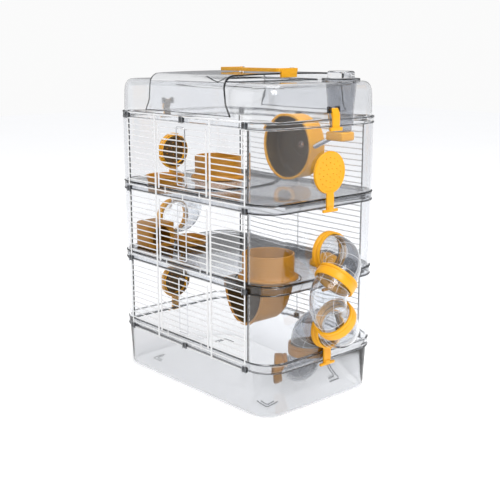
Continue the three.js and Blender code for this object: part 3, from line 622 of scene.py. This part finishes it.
def make_tray():
    outer = [(11.0, 0.0), (8.6, 0.5), (6.7, 2.0), (5.5, 4.6), (5.0, 9.0), (1.3, BAND_LOW - 0.6)]
    inner = [(2.5, 91.9), (2.5, 77.2), (3.4, 76.0), (7.2, 9.0), (7.8, 5.8), (9.3, 3.4), (12.0, 2.5)]
    loops = [wall_loop(inset, z) for inset, z in outer] + band_loops(BAND_LOW, BAND_HIGH)
    loops += [wall_loop(inset, z) for inset, z in inner]
    ride(build("tray_shell", skin(loops), TRAY), "cage", "clear_plastic", "base_tray")
    rim_beads("tray_rim_beads", BAND_LOW, BAND_HIGH, 0.7, CLEAR_EDGE, "clear_plastic")
    marks, z, bend = [], 3.2, 3
    for sx in (-1, 1):
        for sy in (-1, 1):
            for inset in (0.0, 5.0):
                x, y, leg = sx * (158 - inset), sy * (88 - inset), 26.0 - 2 * inset
                marks.append([(x - sx * leg, y, z), (x - sx * bend, y, z), (x, y - sy * bend, z),
                              (x, y - sy * leg, z)])
    ride(wires("tray_corner_marks", marks, 0.7, CLEAR_EDGE, 6), "cage", "clear_plastic")


def end_wall_shape(z0, z1):
    """a flat end that bends round both corners, with a bead down each free edge"""
    cx, cy, half = WALL_X - WALL_CORNER, WALL_Y - WALL_CORNER, math.pi / 2

    def arc(face, r, a0, a1):
        turns = [a0 + (a1 - a0) * k / CORNER_STEPS for k in range(CORNER_STEPS + 1)]
        return [(cx + r * math.cos(a), face * cy + r * math.sin(a)) for a in turns]
    line = arc(-1, WALL_CORNER, -half, 0) + arc(1, WALL_CORNER, 0, half)
    line += [(157.6, 129.5), (156.6, 128.9), (156.6, 127.0), (157.6, 126.4)]
    line += arc(1, WALL_CORNER - 2.2, half, 0) + arc(-1, WALL_CORNER - 2.2, 0, -half)
    line += [(157.6, -126.4), (156.6, -127.0), (156.6, -128.9), (157.6, -129.5)]
    return skin([[(x, y, z) for x, y in line] for z in (z0, z1)])


def make_end_walls():
    slip, bead_x, bead_y = 0.4, 156.6, 128.0
    for side, label in ((-1, "left"), (1, "right")):
        for level, word in enumerate(LEVELS):
            base = BAND_LOW + STOREY * level
            z0, z1 = base + BAND_HIGH + slip, base + STOREY - slip
            wall = build(f"end_wall_shell_{label}_{word}", end_wall_shape(z0, z1), CLEAR)
            carve(wall, turned([(0, 190), (30.3, 190), (30.3, 210), (0, 210)],
                               (0, 0, base + PORT_RISE), ALONG_X, 64))
            if side < 0:
                wall.data.transform(Matrix.Rotation(math.pi, 4, "Z"))
            ride(wall, "cage", "clear_plastic", f"end_wall_{label}_{word}")
            beads = [[(side * bead_x, face * bead_y, z0 + 0.5),
                      (side * bead_x, face * bead_y, z1 - 0.5)]
                     for face in (-1, 1)]
            ride(wires(f"end_wall_bead_{label}_{word}", beads, 1.1, SMOKE_EDGE),
                 "cage", "clear_plastic")


def make_floor(level, name, node, holes):
    z = BAND_LOW + STOREY * level
    loops = band_loops(z, BAND_HIGH) + [rim_loop(6.0, z + BAND_HIGH),
                                        rim_loop(9.0, z + BAND_HIGH - 0.5)]
    split = len(loops) - 1
    skirt_y = 131.7
    loops += [rim_loop(9.0, z + BAND_HIGH - 3.1), rim_loop(6.8, z + BAND_HIGH - 3.4)]
    loops += [rim_loop(inset, z + h, skirt_y)
              for inset, h in ((5.5, BAND_HIGH - 5.0), (5.3, 0.6), (4.2, 0.0))]
    floor = build(name, walled(loops, split), SMOKE)
    carve(floor, *[round_hole(x, y, z - 2, z + 20, r) for x, y, r in holes])
    rim_beads(name + "_rim_beads", z, BAND_HIGH, 1.0, SMOKE_EDGE, "smoke_plastic")
    ride(floor, "cage", "smoke_plastic", node)


def make_floors():
    make_floor(1, "floor_shell_middle", "floor_middle", [(146, -76, 40.3)])
    make_floor(2, "floor_shell_upper", "floor_upper", [(-86, 14, 41.3), (-104, -91, 32.3)])
    top = BAND_LOW + STOREY * 2 + BAND_HIGH + 0.35
    bends = ((-20, -112), (26, -84), (40, -20), (30, 40), (0, 84))
    rails = [rounded([(x + shift, y, top) for x, y in bends], 36, 10, closed=False)
             for shift in (0.0, 7.0)]
    ride(wires("floor_ridges_upper", rails, 1.0, SMOKE_EDGE, 6), "cage", "smoke_plastic")
    turns = [k * math.pi / 24 for k in range(3, 42)]
    hoop = [(146 + 53 * math.cos(t), -76 + 50.5 * math.sin(t), top - STOREY) for t in turns]
    ride(wires("floor_ridges_middle", [hoop], 0.9, SMOKE_EDGE, 6), "cage", "smoke_plastic")


def make_hood():
    z, high = BAND_LOW + 3 * STOREY, 12.0
    outer = [(2.7, 466.4), (2.6, 468), (3.4, 500), (4.3, 508), (6.4, 514), (10.0, 518.4),
             (15.0, 520.6), (20.0, 521.0)]
    inner = [(21.0, 518.8), (16.0, 518.4), (11.6, 516.4), (8.6, 512.6), (6.6, 507.4), (5.7, 500),
             (4.9, 468), (4.8, z + 0.4)]
    loops = band_loops(z, high) + [wall_loop(inset, h) for inset, h in outer]
    split = len(loops) - 1
    hood = build("hood_shell", walled(loops + [wall_loop(inset, h) for inset, h in inner], split),
                 CLEAR)
    mid_x, low, top = 9, 495, 530
    gap = skin([[(x + mid_x, y, h) for x, y, _ in plan_loop(79, 95, 14, 0, 8)] for h in (low, top)])
    carve(hood, gap, round_hole(*BOTTLE_SPOT, low, top, 25.8, 64))
    ride(hood, "cage", "clear_plastic", "roof_hood")
    cheeks = []
    for side in (-1, 1):
        x0, x1 = sorted((side * 194.6, side * 203.9))
        for face in (-1, 1):
            y = side * 10 + face * 9.3
            cheeks.append(block((x0, y - 1.5, 475), (x1, y + 1.5, 485), 0.9))
    # painted shade: the cheeks take the dark smoke-edge plastic to stand for the shade round the roof
    # straps
    ride(build("hood_strap_cheeks", merged(*cheeks), SMOKE_EDGE), "cage", "clear_plastic")
    rim_beads("hood_rim_beads", z, high, 0.7, CLEAR_EDGE, "clear_plastic")
    rim = [(x + mid_x, y, 521.6) for x, y, _ in plan_loop(80, 96, 15, 0, 8)]
    ride(wires("hood_opening_bead", [rim + rim[:1]], 0.9, CLEAR_EDGE, 6), "cage", "clear_plastic")


# ---- lid ----------------------------------------------------------------------------------
def lid_section(inset):
    """one cross-section over the top, from the front hem to the back hem"""
    y, top = 131.5 - inset, 534.0 - inset
    rise, corner, steps, spans = 1.5, 19.0, 8, 16
    points = [(-y, LID_HEM), (-y, 488.0)]
    for k in range(steps + 1):
        turn = k / steps * math.pi / 2
        points.append((-y + corner * (1 - math.cos(turn)),
                       top - rise - corner * (1 - math.sin(turn))))
    shoulder = len(points)
    reach = y - corner
    for k in range(1, spans):
        across = -reach + 2 * reach * k / spans
        points.append((across, top - rise * (across / reach) ** 2))
    return points + [(-py, pz) for py, pz in reversed(points[:shoulder])]


def lid_edge(z, side):
    """x of the lid's cut edge at a height: it flares out near the bottom"""
    flare = max(0.0, (505 - z) / 34) ** 2 * 13.5
    return LID_RIGHT + flare if side > 0 else LID_LEFT - flare


def make_lid():
    across = 24
    rows = []
    for inset in (0.0, 2.2):
        rows.append([[(lid_edge(z, -1) + (lid_edge(z, 1) - lid_edge(z, -1)) * k / across, y, z)
                      for y, z in lid_section(inset)] for k in range(across + 1)])
    loops = [outer + list(reversed(inner)) for outer, inner in zip(*rows)]
    ride(build("lid_shell", skin(loops), CLEAR), "roof_lid", "clear_plastic", "roof_lid")
    edges = [[(lid_edge(z, side) - side * 0.6, y, z) for y, z in lid_section(1.1)]
             for side in (-1, 1)]
    ride(wires("lid_edge_bead", edges, 1.25, SMOKE_EDGE), "roof_lid", "clear_plastic")
    hem_z, hem_y = LID_HEM + 0.8, 130.4
    hems = [[(lid_edge(LID_HEM, -1) + 1, face * hem_y, hem_z),
             (lid_edge(LID_HEM, 1) - 1, face * hem_y, hem_z)] for face in (-1, 1)]
    ride(wires("lid_hem_bead", hems, 0.6, CLEAR_EDGE), "roof_lid", "clear_plastic")
    recess = rounded([(52, -120.6, 529.4), (64, -124.4, 527.2), (76, -127.0, 524.4),
                      (89, -128.6, 521.8), (97, -125.6, 525.4), (101, -120.8, 529.4)],
                     8, 5, closed=False)
    ride(wires("lid_finger_recess", [recess], 0.9, CLEAR_EDGE), "roof_lid", "clear_plastic")
    lugs = [block((x, 13.2, 532.6), (x + 4.8, 22.8, 541.9), 1.4) for x in (-26.6, 96.4)]
    ride(build("lid_handle_lugs", merged(*lugs), CLEAR), "roof_lid", "clear_plastic")
    ride(refined("carry_handle_bail", "carry_handle", AMBER, 1.6, 4),
         "carry_handle", "amber_plastic", "carry_handle")
    for label, side in (("left", -1), ("right", 1)):
        strap = refined(f"roof_strap_moulded_{label}", f"roof_strap_{label}", AMBER, 0.7, 3)
        # painted shade: the strap's inward faces carry the dark shade colour
        paint_shade_on(strap, lambda at, way, side=side: way.x * side < -0.3)
        ride(strap, f"roof_strap_{label}", "amber_plastic", f"roof_strap_{label}")


# ---- grilles, doors and latches -----------------------------------------------------------
LINE_R = 1.05                         # across-wires
POST_R = 1.1


def wire_z(k):
    return WIRE_LOW + WIRE_PITCH * k


def pill(x, y, z0, z1, half=1.3):
    """two uprights side by side joined by a bend at each end"""
    line = [(x + half, y, z0 + half)]
    for k in range(7):
        turn = math.pi * k / 6
        line.append((x + half * math.cos(turn), y, z1 - half + half * math.sin(turn)))
    for k in range(7):
        turn = math.pi * (1 + k / 6)
        line.append((x + half * math.cos(turn), y, z0 + half + half * math.sin(turn)))
    return line + line[:1]


def make_grilles():
    y = -GRILLE_Y
    low, high = wire_z(0) - 1.0, wire_z(40) + 1.0
    spans = {"left": (-153.0, -74.0, -154.0, -75.0), "right": (70.0, 153.0, 154.0, 71.0)}
    for label, (x0, x1, post, inner) in spans.items():
        across = bank(f"across_{label}", x0 - 1, x1 + 1, y, 0, 41, LINE_R, WIRE)
        posts = wires(f"posts_{label}", [
            [(post, y - 0.3, low), (post, y - 0.3, high)], pill(inner, y - 0.1, low, high, 0.7)],
            POST_R, WIRE)
        panel = united(f"front_wires_{label}", across, posts)
        ride(panel, "cage", "plated_wire", f"front_grille_{label}")
    for row in range(4):
        across = bank(f"across_bridge_{row}", -73.0, 69.0, y, 13 * row, 2, LINE_R, WIRE)
        stub = wires(f"stub_bridge_{row}",
                     [[(0, y - 0.2, wire_z(13 * row) - 1), (0, y - 0.2, wire_z(13 * row + 1) + 1)]],
                     POST_R, WIRE)
        ride(united(f"front_wires_bridge_{row + 1}", across, stub), "cage", "plated_wire",
             f"front_grille_bridge_{row + 1}")
    across = bank("across_back", -155, 155, GRILLE_Y, 0, 41, LINE_R, WIRE)
    posts = wires("posts_back", [[(x, GRILLE_Y + 0.3, low), (x, GRILLE_Y + 0.3, high)]
                                 for x in (-154, 0, 154)],
                  POST_R, WIRE)
    ride(united("back_wires", across, posts), "cage", "plated_wire", "back_grille")


def make_doors():
    y = -GRILLE_Y
    for level, word in enumerate(LEVELS):
        first = 13 * level + 2
        z0, z1 = wire_z(first), wire_z(first + 10)
        across = bank(f"across_door_{word}", -66.5, 62.5, y, first, 11, LINE_R, WIRE)
        loops = [pill(x, y - 0.1, z0 - 5.4, z1 + 3.4, 0.75) for x in (-66, 62)]
        curls = []
        for x in (-48, 44):
            curls.append([(x, y + 1.2 * math.sin(t), wire_z(first - 1) + 2.4 * math.cos(t)) for t in
                          [0.4 + 5.4 * k / 12 for k in range(13)]] + [(x, y, z0)])
        door = united(f"door_wires_{word}", across, wires(f"loops_{word}", loops, 1.0, WIRE),
                      wires(f"curls_{word}", curls, 0.7, WIRE, 6))
        ride(door, f"door_{word}", "plated_wire", f"door_{word}")
        make_latch(word, level)


def make_latch(word, level):
    low = wire_z(13 * level + 3) - 4
    high = wire_z(13 * level + 13) - 6.5
    y = -GRILLE_Y - 2.75
    frame_line = rounded([(-11, y, low), (11, y, low), (11, y, high), (-11, y, high)], 3.0, 5)
    hook = [(11, y, high - 4), (11.4, y - 1.2, high - 1), (9.5, y - 2.6, high + 0.2),
            (5.0, y - 2.8, high + 0.2),
            (3.2, y - 2.4, high - 1.6)]
    made = wires(f"latch_wires_{word}",
                 [frame_line + frame_line[:1], rounded(hook, 1.2, 4, closed=False)], 0.93, STEEL)
    ride(made, f"door_latch_{word}", "plated_wire", f"door_latch_{word}")


def make_clips():
    """smoke blocks with a bent keeper wire that hold the grilles"""
    blocks, keepers = [], []
    for face in (-1, 1):
        for x in (-154, 0, 154):
            for z in (79, 205, 331, 460):
                y = face * 131.4
                low, high = sorted((face * 129.8, face * 134.9))
                if x == 0 and face < 0 and 100 < z < 400:
                    continue
                blocks.append(block((x - 5.5, low, z - 4), (x + 5.5, high, z + 5), 1.2))
                keepers.append(rounded([(x - 4, y + face * 3.2, z - 5),
                                        (x - 4, y + face * 3.4, z + 6),
                                        (x + 4, y + face * 3.4, z + 6),
                                        (x + 4, y + face * 3.2, z - 5)],
                                       2.5, 4, closed=False))
    ride(build("grille_clips", merged(*blocks), SMOKE_EDGE), "cage", "clear_plastic")
    ride(wires("grille_clip_keepers", keepers, 0.55, WIRE, 6), "cage", "plated_wire")


# ---- port fittings and tubes --------------------------------------------------------------
def strap_shape(level):
    """the flexible strip below a port, over the band, and its T-shaped end"""
    low = BAND_LOW + STOREY * level - 1
    z = BAND_LOW + PORT_RISE + STOREY * level
    side = rounded([(204.1, low - 3), (204.1, z - 29), (206.3, z - 29), (207.6, low + 9),
                    (206.6, low - 3)],
                   [0.4, 0.2, 0.2, 5.0, 0.8], 4)
    strip = skin([[(x, y, h) for x, h in side] for y in (-7.6, -7.0, 7.0, 7.6)])
    grip = block((204.1, -16.5, low - 5), (208.8, 16.5, low - 0.3), 1.5, 3)
    hook = block((204.2, -5.5, low - 5), (208.9, 5.5, low + 3.5), 1.3, 3)
    return merged(strip, grip, hook)


def cap_profile():
    return rounded([(0, 201.6), (24.0, 201.6), (24.0, 195.2), (28.4, 195.2), (28.4, 200.6),
                    (33.4, 200.6),
                    (33.4, 205.9), (30.6, 206.3), (30.0, 205.2), (0, 205.0)],
                   [0, 0.8, 0.6, 0.9, 0.6, 1.2, 1.6, 0.7, 0.7, 0], 4)


def make_ports():
    for label, side, level, word in (("right", 1, 2, "upper"), ("left", -1, 2, "upper"),
                                     ("left", -1, 0, "lower")):
        z = BAND_LOW + PORT_RISE + STOREY * level
        cap = build(f"port_cap_disc_{label}_{word}", turned(cap_profile(), (0, 0, z), ALONG_X, 72),
                    AMBER)
        run_tree(cap, PERFORATION, Centre=(0.203, 0.0, z * MM), Ring_step=8.2 * MM,
                 Hole_radius=0.85 * MM, Depth=0.02, Finish=AMBER)
        strap = build(f"port_cap_strap_{label}_{word}", strap_shape(level), AMBER)
        whole = united(f"port_cap_moulded_{label}_{word}", cap, strap)
        if side < 0:
            whole.data.transform(Matrix.Rotation(math.pi, 4, "Z"))
        # painted shade: the cap's inward, hollow faces carry the dark shade colour
        paint_shade_on(whole, lambda at, way,
              side=side: way.x * side < -0.5 and math.hypot(at.y, at.z - z) < 30)
        ride(whole, f"port_cap_{label}_{word}", "amber_plastic", f"port_cap_{label}_{word}")
    for label, side, level, word in (("right", 1, 1, "middle"), ("right", 1, 0, "lower"),
                                     ("left", -1, 1, "middle")):
        z = BAND_LOW + PORT_RISE + STOREY * level
        profile = rounded([(29.6, 200.5), (33.4, 200.5), (33.4, 206.0), (31.8, 207.0),
                           (31.8, 208.4), (33.0, 209.6),
                           (33.0, 214.6), (29.6, 214.6)], 0.8, 3)
        ring = turned(profile, (0, 0, z), ALONG_X, 72)
        shape = merged(ring, strap_shape(level))
        made = build(f"port_ring_moulded_{label}_{word}", shape if side > 0
                     else turned_about_z(shape, 180), AMBER)
        ride(made, "cage", "amber_plastic", f"port_ring_{label}_{word}")


def elbow_path(start, way_in, way_out, steps=18):
    """middle line of an elbow as (point, tangent) pairs"""
    start, way_in, way_out = Vector(start), Vector(way_in), Vector(way_out)
    bend = RUN - TUBE_STRAIGHT
    first = start + way_in * TUBE_STRAIGHT
    centre = first + way_out * bend
    path = [(start + way_in * 0.15, way_in)]
    for k in range(steps + 1):
        turn = math.pi / 2 * k / steps
        path.append((centre - way_out * bend * math.cos(turn) + way_in * bend * math.sin(turn),
                     way_in * math.cos(turn) + way_out * math.sin(turn)))
    path.append((path[-1][0] + way_out * (TUBE_STRAIGHT - 0.15), way_out))
    return path, way_in.cross(way_out).normalized()


def elbow_loops(path, side, radius, count=48):
    loops = []
    for point, way in path:
        up = way.cross(side)
        loops.append([tuple(point + side * radius * math.cos(a) + up * radius * math.sin(a))
                      for a in [2 * math.pi * k / count for k in range(count)]])
    return loops


def make_elbow(name, node, start, way_in, way_out, body, slot, material, edge):
    path, side = elbow_path(start, way_in, way_out)
    outer = elbow_loops(path, side, TUBE_R)
    inner = elbow_loops(path, side, TUBE_R - 2)
    ride(build(name, skin(outer + list(reversed(inner)), closed=True), material), body, slot, node)
    line = [tuple(point) for point, _ in path[2:-2]]
    hoops = run_tree(chains(f"{name}_hoops", [line], edge), HOOPS, Hoop_radius=(TUBE_R + 0.05) * MM,
                     Count=4, Rib_radius=0.26 * MM, Finish=edge)
    long_lines = []
    for k in range(6):
        a = 2 * math.pi * (k + 0.5) / 6
        long_lines.append([tuple(point + side * 29.05 * math.cos(a) + way.cross(side) * 29.05 * math.sin(a))
                           for point, way in path[1:-1]])
    ribs = wires(f"{name}_long_ribs", long_lines, 0.26, edge, 5)
    ride(united(f"{name}_ribs", hoops, ribs), body, slot)


def tube_ring(name, node, middle, way, body, slot, material, half=9.0):
    profile = rounded([(29.6, -half), (33.2, -half), (33.4, -half + 3.4), (32.2, -half + 4.2),
                       (32.2, -half + 5.4),
                       (33.4, -half + 6.2), (33.4, half - 3.0), (32.9, half), (29.6, half)], 0.7, 3)
    ride(build(name, turned(profile, middle, way, 72), material), body, slot, node)


def make_tubes():
    root = math.sqrt(0.5)
    down_front, down_back = Vector((0, -root, -root)), Vector((0, root, -root))
    low_z, high_z = BAND_LOW + PORT_RISE, BAND_LOW + PORT_RISE + STOREY
    high = Vector((JOIN_X, 0, high_z))
    ring_top = high + Vector(ALONG_X) * RUN + down_front * RUN
    ring_low = ring_top + down_front * RUN + down_back * RUN
    low_join = Vector((JOIN_X - 0.3 - RUN, 0, low_z - RUN))
    turn = math.radians(41)
    mouth_way = Vector((-math.sin(turn), -math.cos(turn), 0))
    mouth = low_join + Vector((0, 0, -1)) * RUN + mouth_way * RUN
    smoke, clear = (SMOKE, SMOKE_EDGE), (TUBE, SMOKE_EDGE)
    make_elbow("outer_elbow_top", "tube_elbow_outer_top", high, ALONG_X, down_front, "cage",
               "smoke_plastic", *smoke)
    make_elbow("outer_elbow_middle", "tube_elbow_outer_middle", ring_top, down_front, down_back,
               "cage",
               "clear_plastic", *clear)
    make_elbow("outer_elbow_low", "tube_elbow_outer_low", ring_low, down_back, (-1, 0, 0), "cage",
               "clear_plastic", *clear)
    make_elbow("inner_elbow_high", "tube_elbow_inner_high", (JOIN_X - 0.3, 0, low_z), (-1, 0, 0),
               (0, 0, -1), "cage",
               "smoke_plastic", *smoke)
    make_elbow("inner_elbow_low", "tube_elbow_inner_low", low_join, (0, 0, -1), mouth_way,
               "tube_mouth",
               "smoke_plastic", *smoke)
    make_elbow("left_elbow", "tube_elbow_left", (-JOIN_X, 0, high_z), ALONG_X, (0, 0, 1), "cage",
               "clear_plastic", *clear)
    tube_ring("outer_ring_top", "tube_ring_outer_top", ring_top, down_front, "cage",
              "amber_plastic", AMBER)
    tube_ring("outer_ring_low", "tube_ring_outer_low", ring_low, down_back, "cage", "amber_plastic",
              AMBER)
    # painted shade: the inner and mouth rings use the shaded copy of the amber
    tube_ring("inner_ring", "tube_ring_inner", low_join, (0, 0, -1), "cage", "ochre_plastic", SHADED_AMBER)
    tube_ring("mouth_ring", "tube_mouth_ring", mouth, mouth_way, "tube_mouth", "ochre_plastic",
              SHADED_AMBER, 9.5)


# ---- inside fittings ----------------------------------------------------------------------
def collar(name, node, centre, collar_r, flange_r, level, high, spigot, extra=None):
    z = BAND_LOW + BAND_HIGH + STOREY * level + 0.35
    bore = collar_r - 2.9
    profile = rounded([(bore, z - spigot), (collar_r - 1, z - spigot), (collar_r - 1, z),
                       (flange_r, z),
                       (flange_r, z + 3.5), (collar_r + 1.5, z + 3.9), (collar_r, z + 8),
                       (collar_r, z + high),
                       (bore, z + high)], [0.5, 0.3, 0.3, 0.9, 1.3, 2.0, 3.0, 1.2, 1.2], 4)
    shape = turned(profile, (*centre, 0), segments=80)
    # painted shade: collars and the nest use the shaded copy of the amber
    made = build(name, merged(shape, *(extra or [])), SHADED_AMBER)
    return ride(made, "cage", "ochre_plastic", node)


def scoop_shape():
    """the sleeping chamber: a half-elliptical trough, rounded shut at the back, open in front"""
    top, x0, half_x, deep, wall = 215.0, 136.0, 44.0, 67.5, 2.6
    stations = [(-118.8, 1.0), (-112, 1.0), (-100, 1.0), (-86, 1.0), (-72, 1.0), (-62, 1.0)]
    for k in range(1, 8):
        turn = math.pi / 2 * k / 8
        stations.append((-62 + 19.5 * math.sin(turn), math.cos(turn)))
    sides = 36
    shells = []
    for inset in (0.0, wall):
        rows = []
        for y, keep in stations:
            a, b = (half_x - inset) * keep, (deep - inset) * keep
            depth = y if y <= -62 else -62 + (y + 62) * (1 - inset / 19.5)
            rows.append([(x0 - a * math.cos(math.pi * k / sides), depth,
                          top - b * math.sin(math.pi * k / sides))
                         for k in range(sides + 1)])
        rows.append([(x0, -62 + 19.5 - inset, top - 0.01)] * (sides + 1))
        shells.append(rows)
    outer, inner = shells
    loops = [outer[k] + list(reversed(inner[k])) for k in range(len(outer))]
    verts, faces = skin(loops)
    lip = [(x0 - 45.0 * math.cos(math.pi * k / sides), -118.4,
            top - 68.3 * math.sin(math.pi * k / sides))
           for k in range(sides + 1)]
    return (verts, faces), lip


def make_nest():
    shape, lip = scoop_shape()
    made = collar("nest_moulded", "nest", (146, -76), 41, 48, 1, 40, 6.0, [shape])
    # painted shade: the inside of the sleeping chamber carries the dark shade colour
    paint_shade_on(made, lambda at, way: at.z < 213.5 and -118.5 < at.y < -42.0 and abs(at.x - 136) < 44.5
          and way.x * (136 - at.x) - way.y * max(0.0, at.y + 62) + way.z * (215 - at.z) > 0)
    # painted shade: the nest lip uses the shaded copy of the amber
    ride(wires("nest_lip", [lip], 1.3, SHADED_AMBER), "cage", "ochre_plastic")
    collar("climbing_collar_moulded", "climbing_collar", (-86, 14), 42, 49, 2, 40, 6.4)


def bowl(name, node, x, y, z, r, high):
    profile = rounded([(0, z), (r - 3, z), (r - 0.6, z + high - 5), (r + 1.6, z + high - 2.4),
                       (r + 1.6, z + high),
                       (r - 2.4, z + high), (r - 5.6, z + 3.4), (0, z + 2.4)],
                       [0, 2, 2, 0.9, 1, 1.2, 4, 0], 5)
    # painted shade: the bowls use the shaded copy of the amber
    ride(build(name, turned(profile, (x, y, 0), segments=72), SHADED_AMBER), "cage", "ochre_plastic", node)


def make_fittings():
    bowl("food_bowl_moulded_upper", "food_bowl_upper", -104, -91, 328.0, 31.8, 29)
    bowl("food_bowl_moulded_middle", "food_bowl_middle", -130, -16, 218.4, 30, 14)
    # painted shade: the corner house uses the shaded copy of the amber
    house = refined("corner_house_moulded", "corner_house", SHADED_AMBER, 1.8, 4)
    ride(house, "cage", "ochre_plastic", "corner_house")
    dome = refined("dome_cover_moulded", "dome_cover", AMBER, 0.6, 2)
    ride(dome, "cage", "amber_plastic", "dome_cover")


def make_wheel():
    x, y, z, r, deep = 40.0, 62.0, 408.0, 57.0, 40.0
    profile = rounded([(4.2, deep - 2.4), (18, deep - 2.4), (20, deep - 3.4), (r - 6, deep - 3.4),
                       (r - 2.2, deep - 8),
                       (r - 2.0, 3.5), (r - 2.8, 0.2), (r + 1.3, 0.2), (r + 1.3, 3.2), (r, 3.8),
                       (r, deep - 3),
                       (r - 3, deep), (11, deep), (9, deep + 6), (4.2, deep + 6)],
                      [0.3, 1, 1, 4, 3, 1, 1.2, 1.2, 0.8, 0.5, 1.4, 2, 1.5, 1, 0.3], 4)
    drum = build("wheel_drum", turned(profile, (x, y, z), ALONG_Y, 96), AMBER)
    # painted shade: the inside of the drum carries the dark shade colour
    paint_shade_on(drum, lambda at, way: 4.5 < at.y - y < deep - 2.2 and math.hypot(at.x - x,
                                                                           at.z - z) < r - 1)
    ride(drum, "exercise_wheel", "amber_plastic", "exercise_wheel")
    ride(refined("wheel_bracket_moulded", "wheel_bracket", AMBER, 1.2, 3), "cage", "amber_plastic",
         "wheel_bracket")
    axle = rounded([(0, deep - 7.0), (7.3, deep - 7.0), (7.4, deep - 3.2), (3.85, deep - 2.9),
                    (3.85, deep + 6.9),
                    (3.15, deep + 7), (3.15, deep + 19.2), (0, deep + 19.2)],
                    [0, 2.6, 0.5, 0.3, 0.3, 0.1, 0.4, 0], 5)
    ride(build("wheel_axle_turned", turned(axle, (x, y, z), ALONG_Y, 40), CLEAR), "cage",
         "plated_wire", "wheel_axle")


def make_bottle():
    x, y = 160.0, 68.0
    body = rounded([(0, 441.1), (18.4, 441.1), (19.2, 455), (24.9, 521.4), (30.9, 521.4),
                    (30.9, 525.7),
                    (23.3, 525.7), (22.9, 521.4), (17.4, 455), (16.6, 442.9), (0, 442.9)],
                   [0, 2, 6, 1, 1, 1.2, 0.8, 2, 6, 1.5, 0], 4)
    ride(build("bottle_moulded", turned(body, (x, y, 0), segments=72), SMOKE), "cage",
         "smoke_plastic", "water_bottle")
    brim = [(x + 30.3 * math.cos(t * math.pi / 36), y + 30.3 * math.sin(t * math.pi / 36), 525.0)
            for t in range(73)]
    ride(wires("bottle_brim_bead", [brim], 0.6, SMOKE_EDGE, 6), "cage", "smoke_plastic")
    z = 526.1
    lid = rounded([(0, z - 4), (21.4, z - 4), (21.4, z), (22, z + 0.2), (22, z + 8.6),
                   (20, z + 10.8), (0, z + 10.8)],
                  [0, 0.8, 0.3, 0.4, 1.4, 1.6, 0], 4)
    ride(build("bottle_lid_moulded", turned(lid, (x, y, 0), segments=64), CLEAR), "bottle_lid",
         "clear_plastic",
         "bottle_lid")
    base = build("bottle_base_moulded",
                 block((x - 18.2, y - 15.5, 425.9), (x + 18.2, y + 15.5, 440.5), 3.2, 4), AMBER)
    drop = math.radians(25)
    way = Vector((-math.cos(drop), 0, -math.sin(drop)))
    start = Vector((x - 13, y, 431.7))
    carve(base, turned([(0, 2), (4.7, 2), (4.7, 60), (0, 60)], start, way, 32))
    ride(base, "cage", "amber_plastic", "bottle_base")
    spout = rounded([(3.4, 2.4), (4.4, 2.4), (4.4, 48), (2.8, 50.3), (2.3, 50.3), (2.3, 48.5),
                     (3.4, 46.8)],
                    [0.2, 0.4, 1.2, 0.3, 0.3, 0.3, 0.3], 3)
    ride(build("bottle_spout_rolled", turned(spout, start, way, 40), STEEL), "cage", "plated_wire",
         "bottle_spout")
    ball = turned([(2.85 * math.sin(math.pi * k / 12), -2.85 * math.cos(math.pi * k / 12))
                   for k in range(13)],
                  start + way * 45.4, way, 24)
    ride(build("valve_ball_ground", ball, STEEL), "valve_ball", "plated_wire", "valve_ball")


# ---- surroundings -------------------------------------------------------------------------
def make_surroundings():
    ground, tree, place = shader("matt_paper_floor")
    mottle = add_node(tree, "ShaderNodeTexNoise", {"Vector": place, "Scale": 3.0, "Detail": 2.0})
    tone = add_node(tree, "ShaderNodeMix", {
        "Factor": mottle.outputs["Fac"], 6: linear("#F6F6F6"), 7: linear("#FAFAFA")},
        data_type="RGBA")
    surface = add_node(tree, "ShaderNodeBsdfPrincipled",
                       {"Base Color": tone.outputs[2], "Roughness": 0.9,
                                                           "Emission Color": linear("#FFFFFF"),
                                                           "Emission Strength": 0.345})
    finish_shader(tree, surface)
    reach = 6000
    floor = build("floor_sheet",
                  ([(-reach, -reach, 0), (reach, -reach, 0), (reach, reach, 0), (-reach, reach, 0)],
                                  [(0, 1, 2, 3)]), ground)
    world = bpy.data.worlds.new("soft_studio")
    world.use_nodes = True
    sky = world.node_tree
    sky.nodes.clear()
    ray = add_node(sky, "ShaderNodeLightPath").outputs
    seen = add_node(sky, "ShaderNodeMath", {
        0: ray["Is Camera Ray"], 1: ray["Is Transmission Ray"]}, operation="MAXIMUM")
    glint = add_node(sky, "ShaderNodeMapRange",
                     {"Value": ray["Is Glossy Ray"], "To Min": 0.7, "To Max": 0.4})
    dim = add_node(sky, "ShaderNodeBackground",
                   {"Color": linear("#F8F9FC"), "Strength": glint.outputs["Result"]})
    bright = add_node(sky, "ShaderNodeBackground", {"Color": linear("#FFFFFF"), "Strength": 0.96})
    both = add_node(sky, "ShaderNodeMixShader", {
        0: seen.outputs[0], 1: dim.outputs[0], 2: bright.outputs[0]})
    add_node(sky, "ShaderNodeOutputWorld", {"Surface": both.outputs[0]})
    bpy.context.scene.world = world
    for name, spot, size, power in (("key", (1.9, -0.5, 1.7), 1.0, 22),
                                    ("top", (0.2, 0.3, 2.4), 1.4, 20),
                                    ("fill", (-1.6, -1.6, 0.9), 1.4, 5)):
        data = bpy.data.lights.new(name, "AREA")
        data.size = size
        data.energy = power
        lamp = placed(name, data)
        lamp.location = spot
        lamp.rotation_euler = (Vector((0, 0, 0.25)) - Vector(spot)).to_track_quat("-Z",
                                                                                  "Y").to_euler()
    bpy.context.scene.view_settings.view_transform = "Standard"


make_tray()
make_end_walls()
make_floors()
make_hood()
make_lid()
make_grilles()
make_doors()
make_clips()
make_ports()
make_tubes()
make_nest()
make_fittings()
make_wheel()
make_bottle()
make_surroundings()
